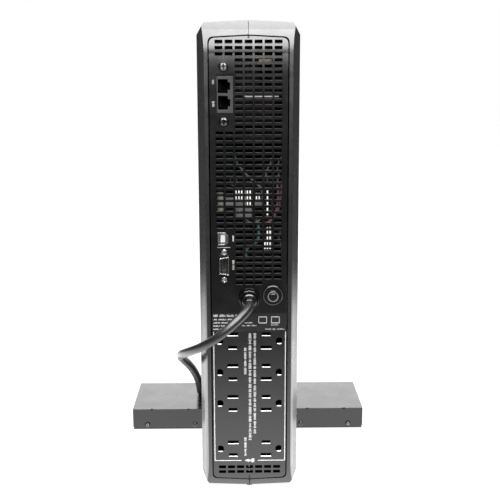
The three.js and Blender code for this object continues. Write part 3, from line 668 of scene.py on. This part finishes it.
def add_gland():
    """A nut against the panel, a barrel, and a ribbed sleeve that tapers onto the lead."""
    low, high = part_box("cord_gland")
    centre = ((low.x + high.x) / 2, (low.z + high.z) / 2)
    face = REAR - 0.0003
    outer = (high.x - low.x) / 2
    tip = REAR - low.y - 0.0005
    profile = [
        # (distance out from the panel, radius, share of faceting)
        (0.0, outer, 0),
        (0.0012, outer, 0),
        (0.0018, outer - 0.0004, 1),
        (0.0089, outer - 0.0004, 1),
        (0.0093, outer - 0.0008, 1),
        (0.0088, 0.007, 0),
        (0.0088, 0.0066, 0),
        (0.0134, 0.0064, 0),
        (0.0142, 0.0057, 0),
        (0.0139, 0.0049, 0),
        (0.018, 0.0047, 0),
        (tip - 0.0006, 0.0044, 0),
        (tip, 0.0040, 0),
    ]
    sides, corners = 72, 12

    def build(bm):
        rings = []
        for out, radius, faceted in profile:
            ring = []
            for i in range(sides):
                angle = 2 * math.pi * i / sides
                reach = radius * (1 - faceted + faceted * facet(angle, corners))
                ring.append(
                    (
                        centre[0] + reach * math.cos(angle),
                        face - out,
                        centre[1] + reach * math.sin(angle),
                    )
                )
            rings.append(ring)
        rings_into(bm, rings)

    gland = new_mesh("strain_relief", build, FITTING, sharp=28)
    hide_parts("cord_gland")
    return gland


def add_plug():
    """A moulded plug with grip waists, its cable end ribbed."""
    low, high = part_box("plug_body")
    x0, x1 = low.x, high.x
    y, z = (low.y + high.y) / 2, PLUG_AT[2]
    half_y = (high.y - low.y) / 2
    stations = [(x0, 0.0048, 0.0048, z, 2.0)]
    ribs = 6
    neck = 0.0195
    for i in range(ribs):
        at = x0 + 0.001 + i * (neck - 0.001) / ribs
        radius = 0.0052 + 0.0016 * i / ribs
        width = (neck - 0.001) / ribs
        stations += [
            (at, radius, radius, z, 2.0),
            (at + 0.55 * width, radius + 0.0002, radius + 0.0002, z, 2.0),
            (at + 0.65 * width, radius - 0.0007, radius - 0.0007, z, 2.0),
            (at + 0.95 * width, radius - 0.0007, radius - 0.0007, z, 2.0),
        ]
    middle = (low.z + high.z) / 2
    tall = (high.z - low.z) / 2
    stations += [
        (x0 + 0.0200, 0.0064, 0.0066, z - 0.0002, 2.2),
        (x0 + 0.0212, 0.0078, 0.0088, middle + 0.0006, 2.8),
        (x1 - 0.019, 0.0086, 0.0102, middle, 3.4),
        (x1 - 0.0115, 0.0088, 0.0108, middle, 3.8),
        (x1 - 0.0085, 0.0096, 0.0113, middle, 4.2),
        (x1 - 0.0062, half_y - 0.0003, tall - 0.0003, middle, 4.6),
        (x1 - 0.0008, half_y, tall, middle, 4.8),
        (x1, half_y - 0.0008, tall - 0.0008, middle, 4.8),
    ]
    sides = 48

    def build(bm):
        rings = []
        for x, ry, rz, zc, power in stations:
            ring = []
            for i in range(sides):
                angle = 2 * math.pi * i / sides
                c, s = math.cos(angle), math.sin(angle)
                ring.append(
                    (
                        x,
                        y + ry * math.copysign(abs(c) ** (2 / power), c),
                        zc + rz * math.copysign(abs(s) ** (2 / power), s),
                    )
                )
            rings.append(ring)
        rings_into(bm, rings)

    plug = new_mesh("plug_moulding", build, JACKET, sharp=40)
    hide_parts("plug_body")
    return plug


strain_relief = add_gland()
plug_moulding = add_plug()


# ---------------------------------------------------------------- print on the socket panel
INK_OUT = REAR - 0.00005
INK_IN = REAR + 0.00002


def flat_into(bm, x0, z0, x1, z1):
    """A printed rectangle on the panel's face."""
    box_into(bm, (x0, INK_OUT, z0), (x1, INK_IN, z1))


# how long a word is, how wide its strokes and the gaps between them are, and the space after it
WORD, STROKE, GAP, SPACE = (0.0025, 0.007), (0.0003, 0.0006), (0.0002, 0.0004), 0.0011
STROKE_HEIGHTS = (1, 1, 0.8, 0.55)


def text_row_into(bm, x0, x1, z, height, upright=False):
    """A row of dashes of uneven length, as small print looks from a distance, and no letters."""
    at = x0
    while at < x1:
        word_end = min(at + random.uniform(*WORD), x1)
        while at < word_end:
            stroke = random.uniform(*STROKE)
            tall = height * random.choice(STROKE_HEIGHTS)
            if upright:
                flat_into(bm, z - tall / 2, -at - stroke, z + tall / 2, -at)
            else:
                flat_into(bm, at, z - height / 2, at + stroke, z - height / 2 + tall)
            at += stroke + random.uniform(*GAP)
        at += SPACE


def column_into(bm, x, top, bottom, width):
    text_row_into(bm, -top, -bottom, x, width, upright=True)


def polygon_into(bm, points):
    """A printed patch with straight sides."""
    rings_into(bm, [[(x, y, z) for x, z in points] for y in (INK_IN, INK_OUT)])


def frame_marks(bm):
    line = 0.0007
    left, right = -0.0322, 0.0328
    low, top = 0.0296, 0.155
    flat_into(bm, left - line / 2, low, left + line / 2, top)
    flat_into(bm, right - line / 2, low, right + line / 2, top)
    flat_into(bm, left, low - line / 2, -0.0074, low + line / 2)
    flat_into(bm, 0.0077, low - line / 2, right, low + line / 2)
    # a plain arrow and a bar in the gap of the line
    polygon_into(bm, [(-0.0046, low), (-0.0006, low + 0.0016), (-0.0006, low - 0.0016)])
    flat_into(bm, -0.0006, low - 0.0008, 0.0014, low + 0.0008)
    flat_into(bm, 0.0018, low - 0.0018, 0.0044, low + 0.0018)


def label_marks(bm):
    for row, (end, height) in enumerate(
        ((-0.0085, 0.0021), (-0.0135, 0.0013), (-0.0155, 0.0013), (-0.017, 0.0013), (-0.0215, 0.0012))
    ):
        text_row_into(bm, -0.0322, end, 0.1702 - row * 0.003 - (0.0006 if row else 0), height)
    text_row_into(bm, -0.004, 0.0035, 0.1635, 0.0011)
    text_row_into(bm, -0.0065, 0.0062, 0.1608, 0.0011)
    # two plain boxes, and short rows under the right-hand one
    z0, z1 = 0.1628, 0.1692
    for x0, x1 in ((0.0083, 0.0159), (0.0198, 0.0274)):
        for a, b, c, d in (
            (x0, z0, x1, z0 + 0.0007),
            (x0, z1 - 0.0007, x1, z1),
            (x0, z0, x0 + 0.0005, z1),
            (x1 - 0.0005, z0, x1, z1),
        ):
            flat_into(bm, a, b, c, d)
    text_row_into(bm, 0.0196, 0.0276, 0.1613, 0.0009)
    text_row_into(bm, 0.0145, 0.0322, 0.1574, 0.0009)


def caution_marks(bm):
    column_into(bm, 0.005, 0.1535, 0.0562, 0.0024)
    column_into(bm, 0.0006, 0.1535, 0.0502, 0.0026)
    column_into(bm, -0.0037, 0.1396, 0.1146, 0.0022)
    column_into(bm, -0.0038, 0.0524, 0.0338, 0.0022)


def port_marks(bm):
    column_into(bm, -0.0303, 0.3783, 0.3748, 0.0019)
    column_into(bm, -0.0303, 0.3602, 0.3546, 0.0021)
    column_into(bm, -0.014, 0.2212, 0.2124, 0.002)
    # a plain upright dash by the square port, and a line under the port
    flat_into(bm, -0.0146, 0.2384, -0.0134, 0.2436)
    flat_into(bm, -0.0281, 0.2327, -0.0166, 0.233)


for mark_name, marks in (
    ("panel_frame_print", frame_marks),
    ("panel_rating_print", label_marks),
    ("panel_caution_print", caution_marks),
    ("panel_port_print", port_marks),
):
    new_mesh(mark_name, marks, INK, smooth=False)


def paint_seam_shade(bm):
    """Painted shade: flat dark patches, as the shadow in the gaps where the shell halves meet above and
    below the panel.
    """
    for side, z in ((1, 0.4139), (-1, 0.0103)):
        tip = z + side * 0.0016
        points = [(-0.001, z), (0.001, z), (0.0001, tip), (-0.0001, tip)]
        polygon_into(bm, points if side < 0 else list(reversed(points)))
    flat_into(bm, -0.0004, 0.0046, 0.0004, 0.0101)


new_mesh("seam_gaps", paint_seam_shade, DARK, smooth=False)


# ---------------------------------------------------------------- sockets
OUTLET_ROWS = (0.1462, 0.1163, 0.0863, 0.0414)
OUTLET_COLUMNS = ((-0.0151, -1), (0.0154, 1))
BLADE_HALF_PITCH, GROUND_OFFSET = 0.00635, 0.0119
LONG_SLOT, SHORT_SLOT, SLOT_HALF = 0.010, 0.0079, 0.0018


def lip_into(bm, x0, x1, z, rise, depth):
    """A sloped sill along the bottom of a hole."""
    inset = 0.00008
    corners = [
        (REAR + inset, z + inset),
        (REAR + depth, z + rise),
        (REAR + depth, z + inset),
    ]
    rings_into(bm, [[(x, *corner) for corner in corners] for x in (x0 + inset, x1 - inset)])


def blade_slots(side, z):
    """Height and length of the two blade slots of one socket."""
    for offset, length in ((-side, LONG_SLOT), (side, SHORT_SLOT)):
        yield z + offset * BLADE_HALF_PITCH, length


def socket_lips(bm):
    for x, side in OUTLET_COLUMNS:
        for z in OUTLET_ROWS:
            for middle, length in blade_slots(side, z):
                base = middle - SLOT_HALF
                lip_into(bm, x - length / 2, x + length / 2, base, 0.0006, 0.0006)
            ground = x + side * GROUND_OFFSET
            half = 0.0021
            lip_into(bm, ground - half, ground + half, z - 0.0032, 0.0007, 0.0007)


new_mesh("socket_sills", socket_lips, SILL, smooth=False)

# the vent grid: rows run down from SLOT_TOP, and each group is (first row, last row, columns from, to)
SLOT_PITCH_X, SLOT_PITCH_Z, SLOT_TOP = 0.00844, 0.005116, 0.40985
SLOT_WIDTH, SLOT_HEIGHT = 0.0067, 0.0031
SLOT_ROWS = ((0, 2, -3, 3), (3, 14, -1, 3), (15, 31, -3, 3), (32, 40, -1, 3), (41, 41, -1, 1))


def slot_lips(bm):
    """A narrow sloped sill along the bottom of every vent slot, painted pale as a highlight where the black
    lip catches the light.
    """
    for first, last, start, end in SLOT_ROWS:
        for row in range(first, last + 1):
            z = SLOT_TOP - row * SLOT_PITCH_Z - SLOT_HEIGHT / 2
            for column in range(start, end + 1):
                x = column * SLOT_PITCH_X
                lip_into(bm, x - SLOT_WIDTH / 2 + 0.0002, x + SLOT_WIDTH / 2 - 0.0002, z, 0.0005, 0.0009)


new_mesh("vent_sills", slot_lips, VENT_SILL_HIGHLIGHT, smooth=False)


def socket_contacts(bm):
    """Sprung brass leaves deep in the blade pockets."""
    for x, side in OUTLET_COLUMNS:
        for z in OUTLET_ROWS:
            for middle, length in blade_slots(side, z):
                for leaf in (middle - 0.0011, middle + 0.0011):
                    near = (x - length * 0.36, REAR + 0.0092, leaf - 0.00025)
                    far = (x + length * 0.36, REAR + 0.0152, leaf + 0.00025)
                    box_into(bm, near, far, 0.0001, 1)


new_mesh("socket_contacts", socket_contacts, BRASS)


# ---------------------------------------------------------------- ports
JACK_HALF_PITCH, CONTACT_PITCH = 0.006985, 0.00102


def jack_contacts(bm):
    low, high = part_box("network_jack")
    for middle in (-1, 1):
        z = (low.z + high.z) / 2 + middle * JACK_HALF_PITCH
        for i in range(8):
            at = z - 0.0036 + i * CONTACT_PITCH
            near = (low.x + 0.0022, low.y + 0.0075, at - 0.00018)
            far = (low.x + 0.0034, low.y + 0.0118, at + 0.00018)
            box_into(bm, near, far, 0.0001, 1)


new_mesh("network_jack_contacts", jack_contacts, DIM_BRASS)


def usb_contacts(bm):
    low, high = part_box("usb_tongue")
    middle = (low.z + high.z) / 2
    for side, x in ((-1, low.x), (1, high.x)):
        for z in (middle - 0.0013, middle + 0.0013):
            near = (x - 0.00018, low.y + 0.0012, z - 0.0005)
            box_into(bm, near, (x + 0.00018, low.y + 0.0085, z + 0.0005), 0.0001, 1)


new_mesh("usb_contacts", usb_contacts, BRASS)


# ---------------------------------------------------------------- what shows through the vents
def inside_box(name, low, high, mat, bevel):
    return new_mesh(name, lambda bm: box_into(bm, low, high, bevel), mat)


def deep(mm):
    return REAR + mm * MM


TOOTH_DEPTH = 0.0046
UPPER_COMB = (
    # teeth, low, high, width
    ((-0.0113, -0.0087, -0.0062), 0.2705, 0.2822, 0.0010),
    ((-0.0035, -0.0011, 0.0014), 0.2655, 0.2822, 0.0010),
    ((0.0071, 0.0096), 0.2712, 0.2775, 0.0010),
    ((0.0171,), 0.2575, 0.2822, 0.0012),
)
LOWER_COMB = (
    ((0.0171, 0.0196), 0.2262, 0.2462, 0.0011),
    ((0.0148,), 0.2262, 0.2335, 0.0011),
)


def comb(name, groups):
    """Upright white teeth in groups of one height, as painted light for the bright slits that show through
    the front vents.
    """

    def build(bm):
        y = deep(24)
        for teeth, low, high, width in groups:
            for x in teeth:
                near = (x - width / 2, y, low)
                box_into(bm, near, (x + width / 2, y + TOOTH_DEPTH, high), 0.0002, 1)

    new_mesh(name, build, WHITE)


# painted light: white teeth, lit by the inside lamp, stand in for the daylight that shows through the front
# vents
comb("terminal_comb_upper", UPPER_COMB)
comb("terminal_comb_lower", LOWER_COMB)
INSIDE = (
    # name, (left, near, low) and (right, far, high) in mm, near and far from the panel; eased edge
    ("comb_backing", (-13, 28.4, 261.5), (21.5, 29.4, 284.5), DARK, 0.6),
    ("comb_backing_lower", (13, 28.4, 222), (22.5, 29.4, 248.5), DARK, 0.6),
    ("connector_cream", (-28.7, 11, 263.5), (-22.6, 15, 280.5), CREAM, 1.2),
    ("connector_grey_1", (-20.7, 12, 266.5), (-13.5, 15, 275.5), PALE_GREY, 0.6),
    ("connector_grey_2", (-12.6, 21.5, 255.5), (-5.2, 23.6, 270.5), PALE_GREY, 0.6),
    ("connector_grey_3", (-4.3, 21.5, 255.5), (2.9, 23.6, 264.5), PALE_GREY, 0.6),
    ("connector_grey_4", (4.6, 21.5, 266.5), (11.4, 23.6, 271.5), PALE_GREY, 0.6),
    ("transformer_tape", (9.3, 25, 392.8), (20.5, 30, 395.8), TAPE, 0.4),
    ("transformer_paper", (9.6, 26, 371.8), (20.4, 31, 392.6), PAPER, 0.4),
    ("transformer_strap", (-3.9, 22.5, 363.1), (26.8, 27, 364.1), STRAP, 0.2),
)
for box_name, box_low, box_high, box_mat, box_edge in INSIDE:
    corners = [(x * MM, deep(depth), z * MM) for x, depth, z in (box_low, box_high)]
    inside_box(box_name, *corners, box_mat, box_edge * MM)


def wire(name, radius, mat, *points):
    """A wire through points of (x, depth behind the panel, height), all in mm."""
    route = [(x * MM, deep(depth), z * MM) for x, depth, z in points]
    return tube_curve(name, catmull(route, 8), radius * MM, mat, resolution=3)


wire("wire_green_1", 0.9, WIRE_GREEN, (-12.5, 27, 312), (-11.1, 25, 308), (-9.6, 25, 303.5),
     (-6.2, 25, 299.8), (-4, 27, 298.5))
wire("wire_yellow_1", 0.8, WIRE_YELLOW, (-5.2, 26.5, 299.5), (-3.6, 25, 296.5), (0.4, 25, 292.5),
     (4.2, 25, 289), (7.8, 25, 285.8), (10.4, 25, 282.8))
wire("wire_green_2", 1.2, WIRE_GREEN, (9.8, 26, 284.5), (11.8, 23, 281), (12.9, 23, 275.5),
     (12.8, 23, 270), (10.5, 25, 265.5))
wire("wire_green_3", 1.1, WIRE_GREEN, (6.2, 27, 254.5), (8.5, 24, 250), (9.2, 23, 244.5),
     (9, 23, 239), (8.2, 23, 234.5), (4, 23, 230.5), (-0.5, 24, 227.5), (-2.6, 25, 222.5),
     (-1, 25, 216.5))
wire("wire_red_1", 1.4, WIRE_RED, (26.8, 28, 290), (26.2, 24, 284.5), (27.2, 23, 276.5),
     (26.2, 23, 268.5), (25.2, 23, 262), (22.5, 23, 255.5), (17.8, 23, 251.5), (14.2, 25, 250.5))
wire("wire_red_2", 1.1, WIRE_RED, (29.6, 27, 287.5), (29.5, 23, 278.5), (28.6, 23, 270),
     (26.6, 23, 262), (23.5, 25, 256.5))
wire("wire_brown_1", 0.9, WIRE_BROWN, (20.8, 28, 309), (19.6, 25, 304), (16.8, 25, 299),
     (15.8, 25, 294), (17.2, 27, 289))
wire("wire_grey_1", 0.8, WIRE_GREY, (29.6, 26, 310.5), (27.2, 25, 305.5), (26.2, 25, 299.5),
     (27.5, 25, 293.5), (26, 26, 289))
wire("wire_grey_2", 0.8, WIRE_GREY, (29.2, 26, 242.5), (27.6, 25, 238), (29, 25, 232),
     (30.2, 26, 225.5))
wire("wire_yellow_2", 0.7, WIRE_YELLOW, (-3.5, 25, 254.5), (1.5, 23, 251.2), (7, 23, 251.5),
     (11.5, 25, 254.5))
wire("wire_black_1", 1.3, WIRE_BLACK, (-30.5, 26, 334), (-24, 24, 326), (-20.5, 24, 316),
     (-21.5, 25, 305), (-26.5, 27, 297))
# the rim of a capacitor, seen end on
rim = [
    (-13.4 + 2.9 * math.cos(step * math.pi / 6), 14.7, 290.2 + 4.6 * math.sin(step * math.pi / 6))
    for step in range(13)
]
wire("capacitor_rim", 0.3, WIRE_GREY, *rim)


SEEN_THROUGH = [
    o.name
    for o in bpy.data.objects
    if o.name.startswith(("wire_", "terminal_comb", "connector_", "transformer_tape", "transformer_paper"))
    or o.name in ("transformer_strap", "capacitor_rim")
]


# ---------------------------------------------------------------- breaker rings as painted highlights
def hoop(name, node_name, radius, thick, mat, face=None):
    """A turned ring lying on a node's near face, or on a shoulder further back; its pale colour is a
    painted highlight on the edge there.
    """
    low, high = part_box(node_name)
    centre = ((low.x + high.x) / 2, (low.z + high.z) / 2)
    middle = low.y if face is None else face
    section = [*round_steps(16), (1.0, 0.0)]
    rings = [
        [
            (
                centre[0] + (radius + thick * out) * c,
                middle + thick * along,
                centre[1] + (radius + thick * out) * s,
            )
            for c, s in round_steps(64)
        ]
        for out, along in section
    ]
    return new_mesh(name, lambda bm: skin_into(bm, rings), mat)


hoop("breaker_nut_ring", "breaker_body", 0.0043, 0.0005, NUT_RING_HIGHLIGHT)
hoop("breaker_flange_ring", "breaker_body", 0.0084, 0.00022, FLANGE_RING_HIGHLIGHT, REAR - 0.0026)


# ---------------------------------------------------------------- the display side
def front_face(node_name):
    low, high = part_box(node_name)
    return (low.x + high.x) / 2, high.y, (low.z + high.z) / 2


# how far a mark is sunk into its piece, and how far it stands out
MARK_SUNK, MARK_PROUD, RING_PROUD = 0.00002, 0.00012, 0.0001


def far_box(bm, x0, z0, x1, z1, y):
    """A printed rectangle on a face of the display side."""
    box_into(bm, (x0, y - MARK_SUNK, z0), (x1, y + MARK_PROUD, z1))


SEGMENTS = (
    # (left, low, right, high) of each bar of a seven-bar figure, as shares of its size
    (0.12, 0.9, 0.88, 1.0),
    (0.12, 0.45, 0.88, 0.55),
    (0.12, 0.0, 0.88, 0.1),
    (0.0, 0.52, 0.14, 0.95),
    (0.0, 0.05, 0.14, 0.48),
    (0.86, 0.52, 1.0, 0.95),
    (0.86, 0.05, 1.0, 0.48),
)


def display_marks(bm):
    """Unlit bars of four figures over a level gauge."""
    x, y, z = front_face("display_window")
    wide, tall, pitch = 0.0042, 0.0085, 0.0072
    for figure in range(4):
        left = x - 0.0128 + figure * pitch
        for a, b, c, d in SEGMENTS:
            far_box(bm, left + a * wide, z + 0.001 + b * tall, left + c * wide, z + 0.001 + d * tall, y)
    for step in range(8):
        left = x - 0.0128 + step * 0.0033
        far_box(bm, left, z - 0.0072, left + 0.0024, z - 0.0038, y)


def power_marks(bm):
    """A plain ring broken by a bar."""
    x, y, z = front_face("power_button")
    sides, outer, inner = 30, 0.0028, 0.0022
    for i in range(4, sides - 3):
        a0, a1 = (math.pi / 2 + 2 * math.pi * k / sides for k in (i, i + 1))
        corners = [
            (x + r * math.cos(a), z + r * math.sin(a))
            for r, a in ((outer, a0), (outer, a1), (inner, a1), (inner, a0))
        ]
        faces = (y - MARK_SUNK, y + RING_PROUD)
        rings_into(bm, [[(p, at, q) for p, q in corners] for at in faces])
    far_box(bm, x - 0.0003, z + 0.0006, x + 0.0003, z + 0.0032, y)


def mute_marks(bm):
    x, y, z = front_face("mute_button")
    far_box(bm, x - 0.0016, z - 0.0007, x - 0.0004, z + 0.0007, y)
    far_box(bm, x - 0.0004, z - 0.0014, x + 0.0002, z + 0.0014, y)
    far_box(bm, x + 0.0008, z - 0.001, x + 0.0011, z + 0.001, y)


def scroll_marks(bm):
    x, y, z = front_face("scroll_button")
    for row in range(4):
        half = 0.0014 - row * 0.00033
        far_box(bm, x - half, z - 0.0004 - row * 0.0004, x + half, z - 0.0001 - row * 0.0004, y)
        far_box(bm, x - half, z + 0.0001 + row * 0.0004, x + half, z + 0.0004 + row * 0.0004, y)


def door_ribs(bm):
    """Grip ribs across the upper part of the battery door."""
    low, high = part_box("battery_door")
    for row in range(6):
        z = high.z - 0.012 - row * 0.0036
        box_into(bm, (-0.016, high.y - 0.0001, z - 0.0007), (0.016, high.y + 0.0004, z + 0.0007), 0.0003, 2)


new_mesh("display_figures", display_marks, SEGMENT, body="display", smooth=False)
new_mesh("power_mark", power_marks, INK, body="power_key", smooth=False)
new_mesh("mute_mark", mute_marks, INK, body="mute_key", smooth=False)
new_mesh("scroll_mark", scroll_marks, INK, body="scroll_key", smooth=False)
new_mesh("door_grip", door_ribs, SHELL, body="door")


# ---------------------------------------------------------------- the stand
# distance of the notches from the middle
NOTCHES = (0.065, 0.105)


def paint_notch_shade(bm):
    """Painted shade: dark half-round blocks where each wing's top folds down, in place of the shade inside
    its relief notches.
    """
    low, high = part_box("stand_wing_left")
    near, top = low.y, high.z
    for side in (-1, 1):
        for at in NOTCHES:
            box_into(
                bm,
                (side * at - 0.0014, near - 0.00008, top - 0.0016),
                (side * at + 0.0014, near + 0.0014, top + 0.00008),
                0.0005,
                2,
            )


new_mesh("stand_reliefs", paint_notch_shade, DARK)


# ---------------------------------------------------------------- stage and light
# the glow: how far round towards +Y it starts and is full, and its dim and full strength
GLOW_FROM, GLOW_FULL, GLOW_DIM, GLOW_BRIGHT = 0.9, 0.97, 0.1, 3.9
GLOW_SQUEEZE = (1, 1, 0.35)
# the pool on the floor: its centre, where it starts and stops falling off, and both strengths
POOL_CENTRE = (0, 0.12, 0)
POOL_FROM, POOL_END, POOL_BRIGHT, POOL_DIM = 0.2, 0.85, 3.3, 0.14
FLOOR_RADIUS, FLOOR_WHITE, FLOOR_PAINT = 6.0, 0.86, (0.5, 0.5, 0.5, 1)


def add_world():
    """White to the camera; to reflections and indirect light, a glow on one side of a dim room."""
    world = bpy.data.worlds.new("studio")
    bpy.context.scene.world = world
    world.use_nodes = True
    tree = world.node_tree
    background = tree.nodes["Background"]
    background.inputs["Color"].default_value = (1, 1, 1, 1)
    way = add_node(tree, "TexCoord").outputs["Generated"]
    unit = vector_math(tree, "NORMALIZE", vector_math(tree, "MULTIPLY", way, GLOW_SQUEEZE))
    aside = axis(tree, unit, "Y")
    edges = GLOW_DIM, GLOW_BRIGHT, GLOW_FROM, GLOW_FULL
    links = {
        "Factor": add_node(tree, "LightPath").outputs["Is Camera Ray"],
        "A": remap(tree, aside, *edges, curve="SMOOTHSTEP"),
    }
    choose = add_node(tree, "Mix", {"B": 1.0}, links, data_type="FLOAT")
    tree.links.new(choose.outputs["Result"], background.inputs["Strength"])


def add_floor():
    """Pale to the camera; to other rays, a bright pool round the object that falls off outwards."""
    mat = bpy.data.materials.new("floor")
    mat.use_nodes = True
    tree = mat.node_tree
    tree.nodes.remove(principled(mat))
    place = add_node(tree, "TexCoord").outputs["Object"]
    from_centre = vector_math(tree, "SUBTRACT", place, POOL_CENTRE)
    reach = vector_math(tree, "LENGTH", from_centre, output="Value")
    edges = POOL_BRIGHT, POOL_DIM, POOL_FROM, POOL_END
    pool = remap(tree, reach, *edges, curve="SMOOTHERSTEP")
    seen_by_rays = add_node(tree, "Emission", None, {"Strength": pool})
    white = add_node(tree, "Emission", {"Strength": FLOOR_WHITE})
    paint = add_node(tree, "BsdfDiffuse", {"Color": FLOOR_PAINT})
    links = {0: white.outputs["Emission"], 1: paint.outputs["BSDF"]}
    both = add_node(tree, "AddShader", None, links)
    links = {
        "Fac": add_node(tree, "LightPath").outputs["Is Camera Ray"],
        1: seen_by_rays.outputs["Emission"],
        2: both.outputs["Shader"],
    }
    choose = add_node(tree, "MixShader", None, links)
    output = tree.nodes["Material Output"]
    tree.links.new(choose.outputs["Shader"], output.inputs["Surface"])
    bm = bmesh.new()
    bmesh.ops.create_circle(bm, cap_ends=True, segments=96, radius=FLOOR_RADIUS)
    data = bpy.data.meshes.new("floor")
    bm.to_mesh(data)
    bm.free()
    data.materials.append(mat)
    floor = bpy.data.objects.new("floor", data)
    bpy.context.scene.collection.objects.link(floor)


def area_light(name, place, target, size, radiance, diffuse=True, glossy=True):
    width, height = size
    data = bpy.data.lights.new(name, "AREA")
    data.shape = "RECTANGLE"
    data.size, data.size_y = width, height
    data.energy = math.pi * radiance * width * height
    light = bpy.data.objects.new(name, data)
    bpy.context.scene.collection.objects.link(light)
    light.location = place
    aim = Vector(target) - Vector(place)
    light.rotation_mode = "QUATERNION"
    light.rotation_quaternion = aim.to_track_quat("-Z", "Y")
    light.visible_camera = False
    light.visible_diffuse = diffuse
    light.visible_glossy = glossy
    return light


def add_lights():
    """A softbox behind the camera and one overhead, each as a gloss part and a diffuse part."""
    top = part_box("rear_panel")[1].z
    corner = (0, REAR, top)
    behind, above = REAR - 1.18, top + 0.95
    area_light("softbox_gloss", (0.12, behind, above), corner, (1.5, 0.95), 17.0, diffuse=False)
    area_light("softbox_fill", (0, behind, above), corner, (1.7, 0.95), 4.0, glossy=False)
    overhead, sheet = (0, -0.25, 1.5), (2.0, 1.4)
    area_light("overhead_gloss", overhead, (0, 0, 0), sheet, 11.0, diffuse=False)
    area_light("overhead_fill", overhead, (0, 0, 0), sheet, 5.0, glossy=False)
    # a small light just inside the panel, which lights only what is seen through the vents
    x, z = 0.002, 0.31
    inside = area_light("inside", (x, REAR + 0.009, z), (x, 0.2, z), (0.058, 0.2), 2.0)
    lit = bpy.data.collections.new("lit_through_the_vents")
    for name in SEEN_THROUGH:
        lit.objects.link(bpy.data.objects[name])
    inside.light_linking.receiver_collection = lit


add_world()
add_floor()
add_lights()
bpy.context.scene.view_settings.view_transform = "Standard"
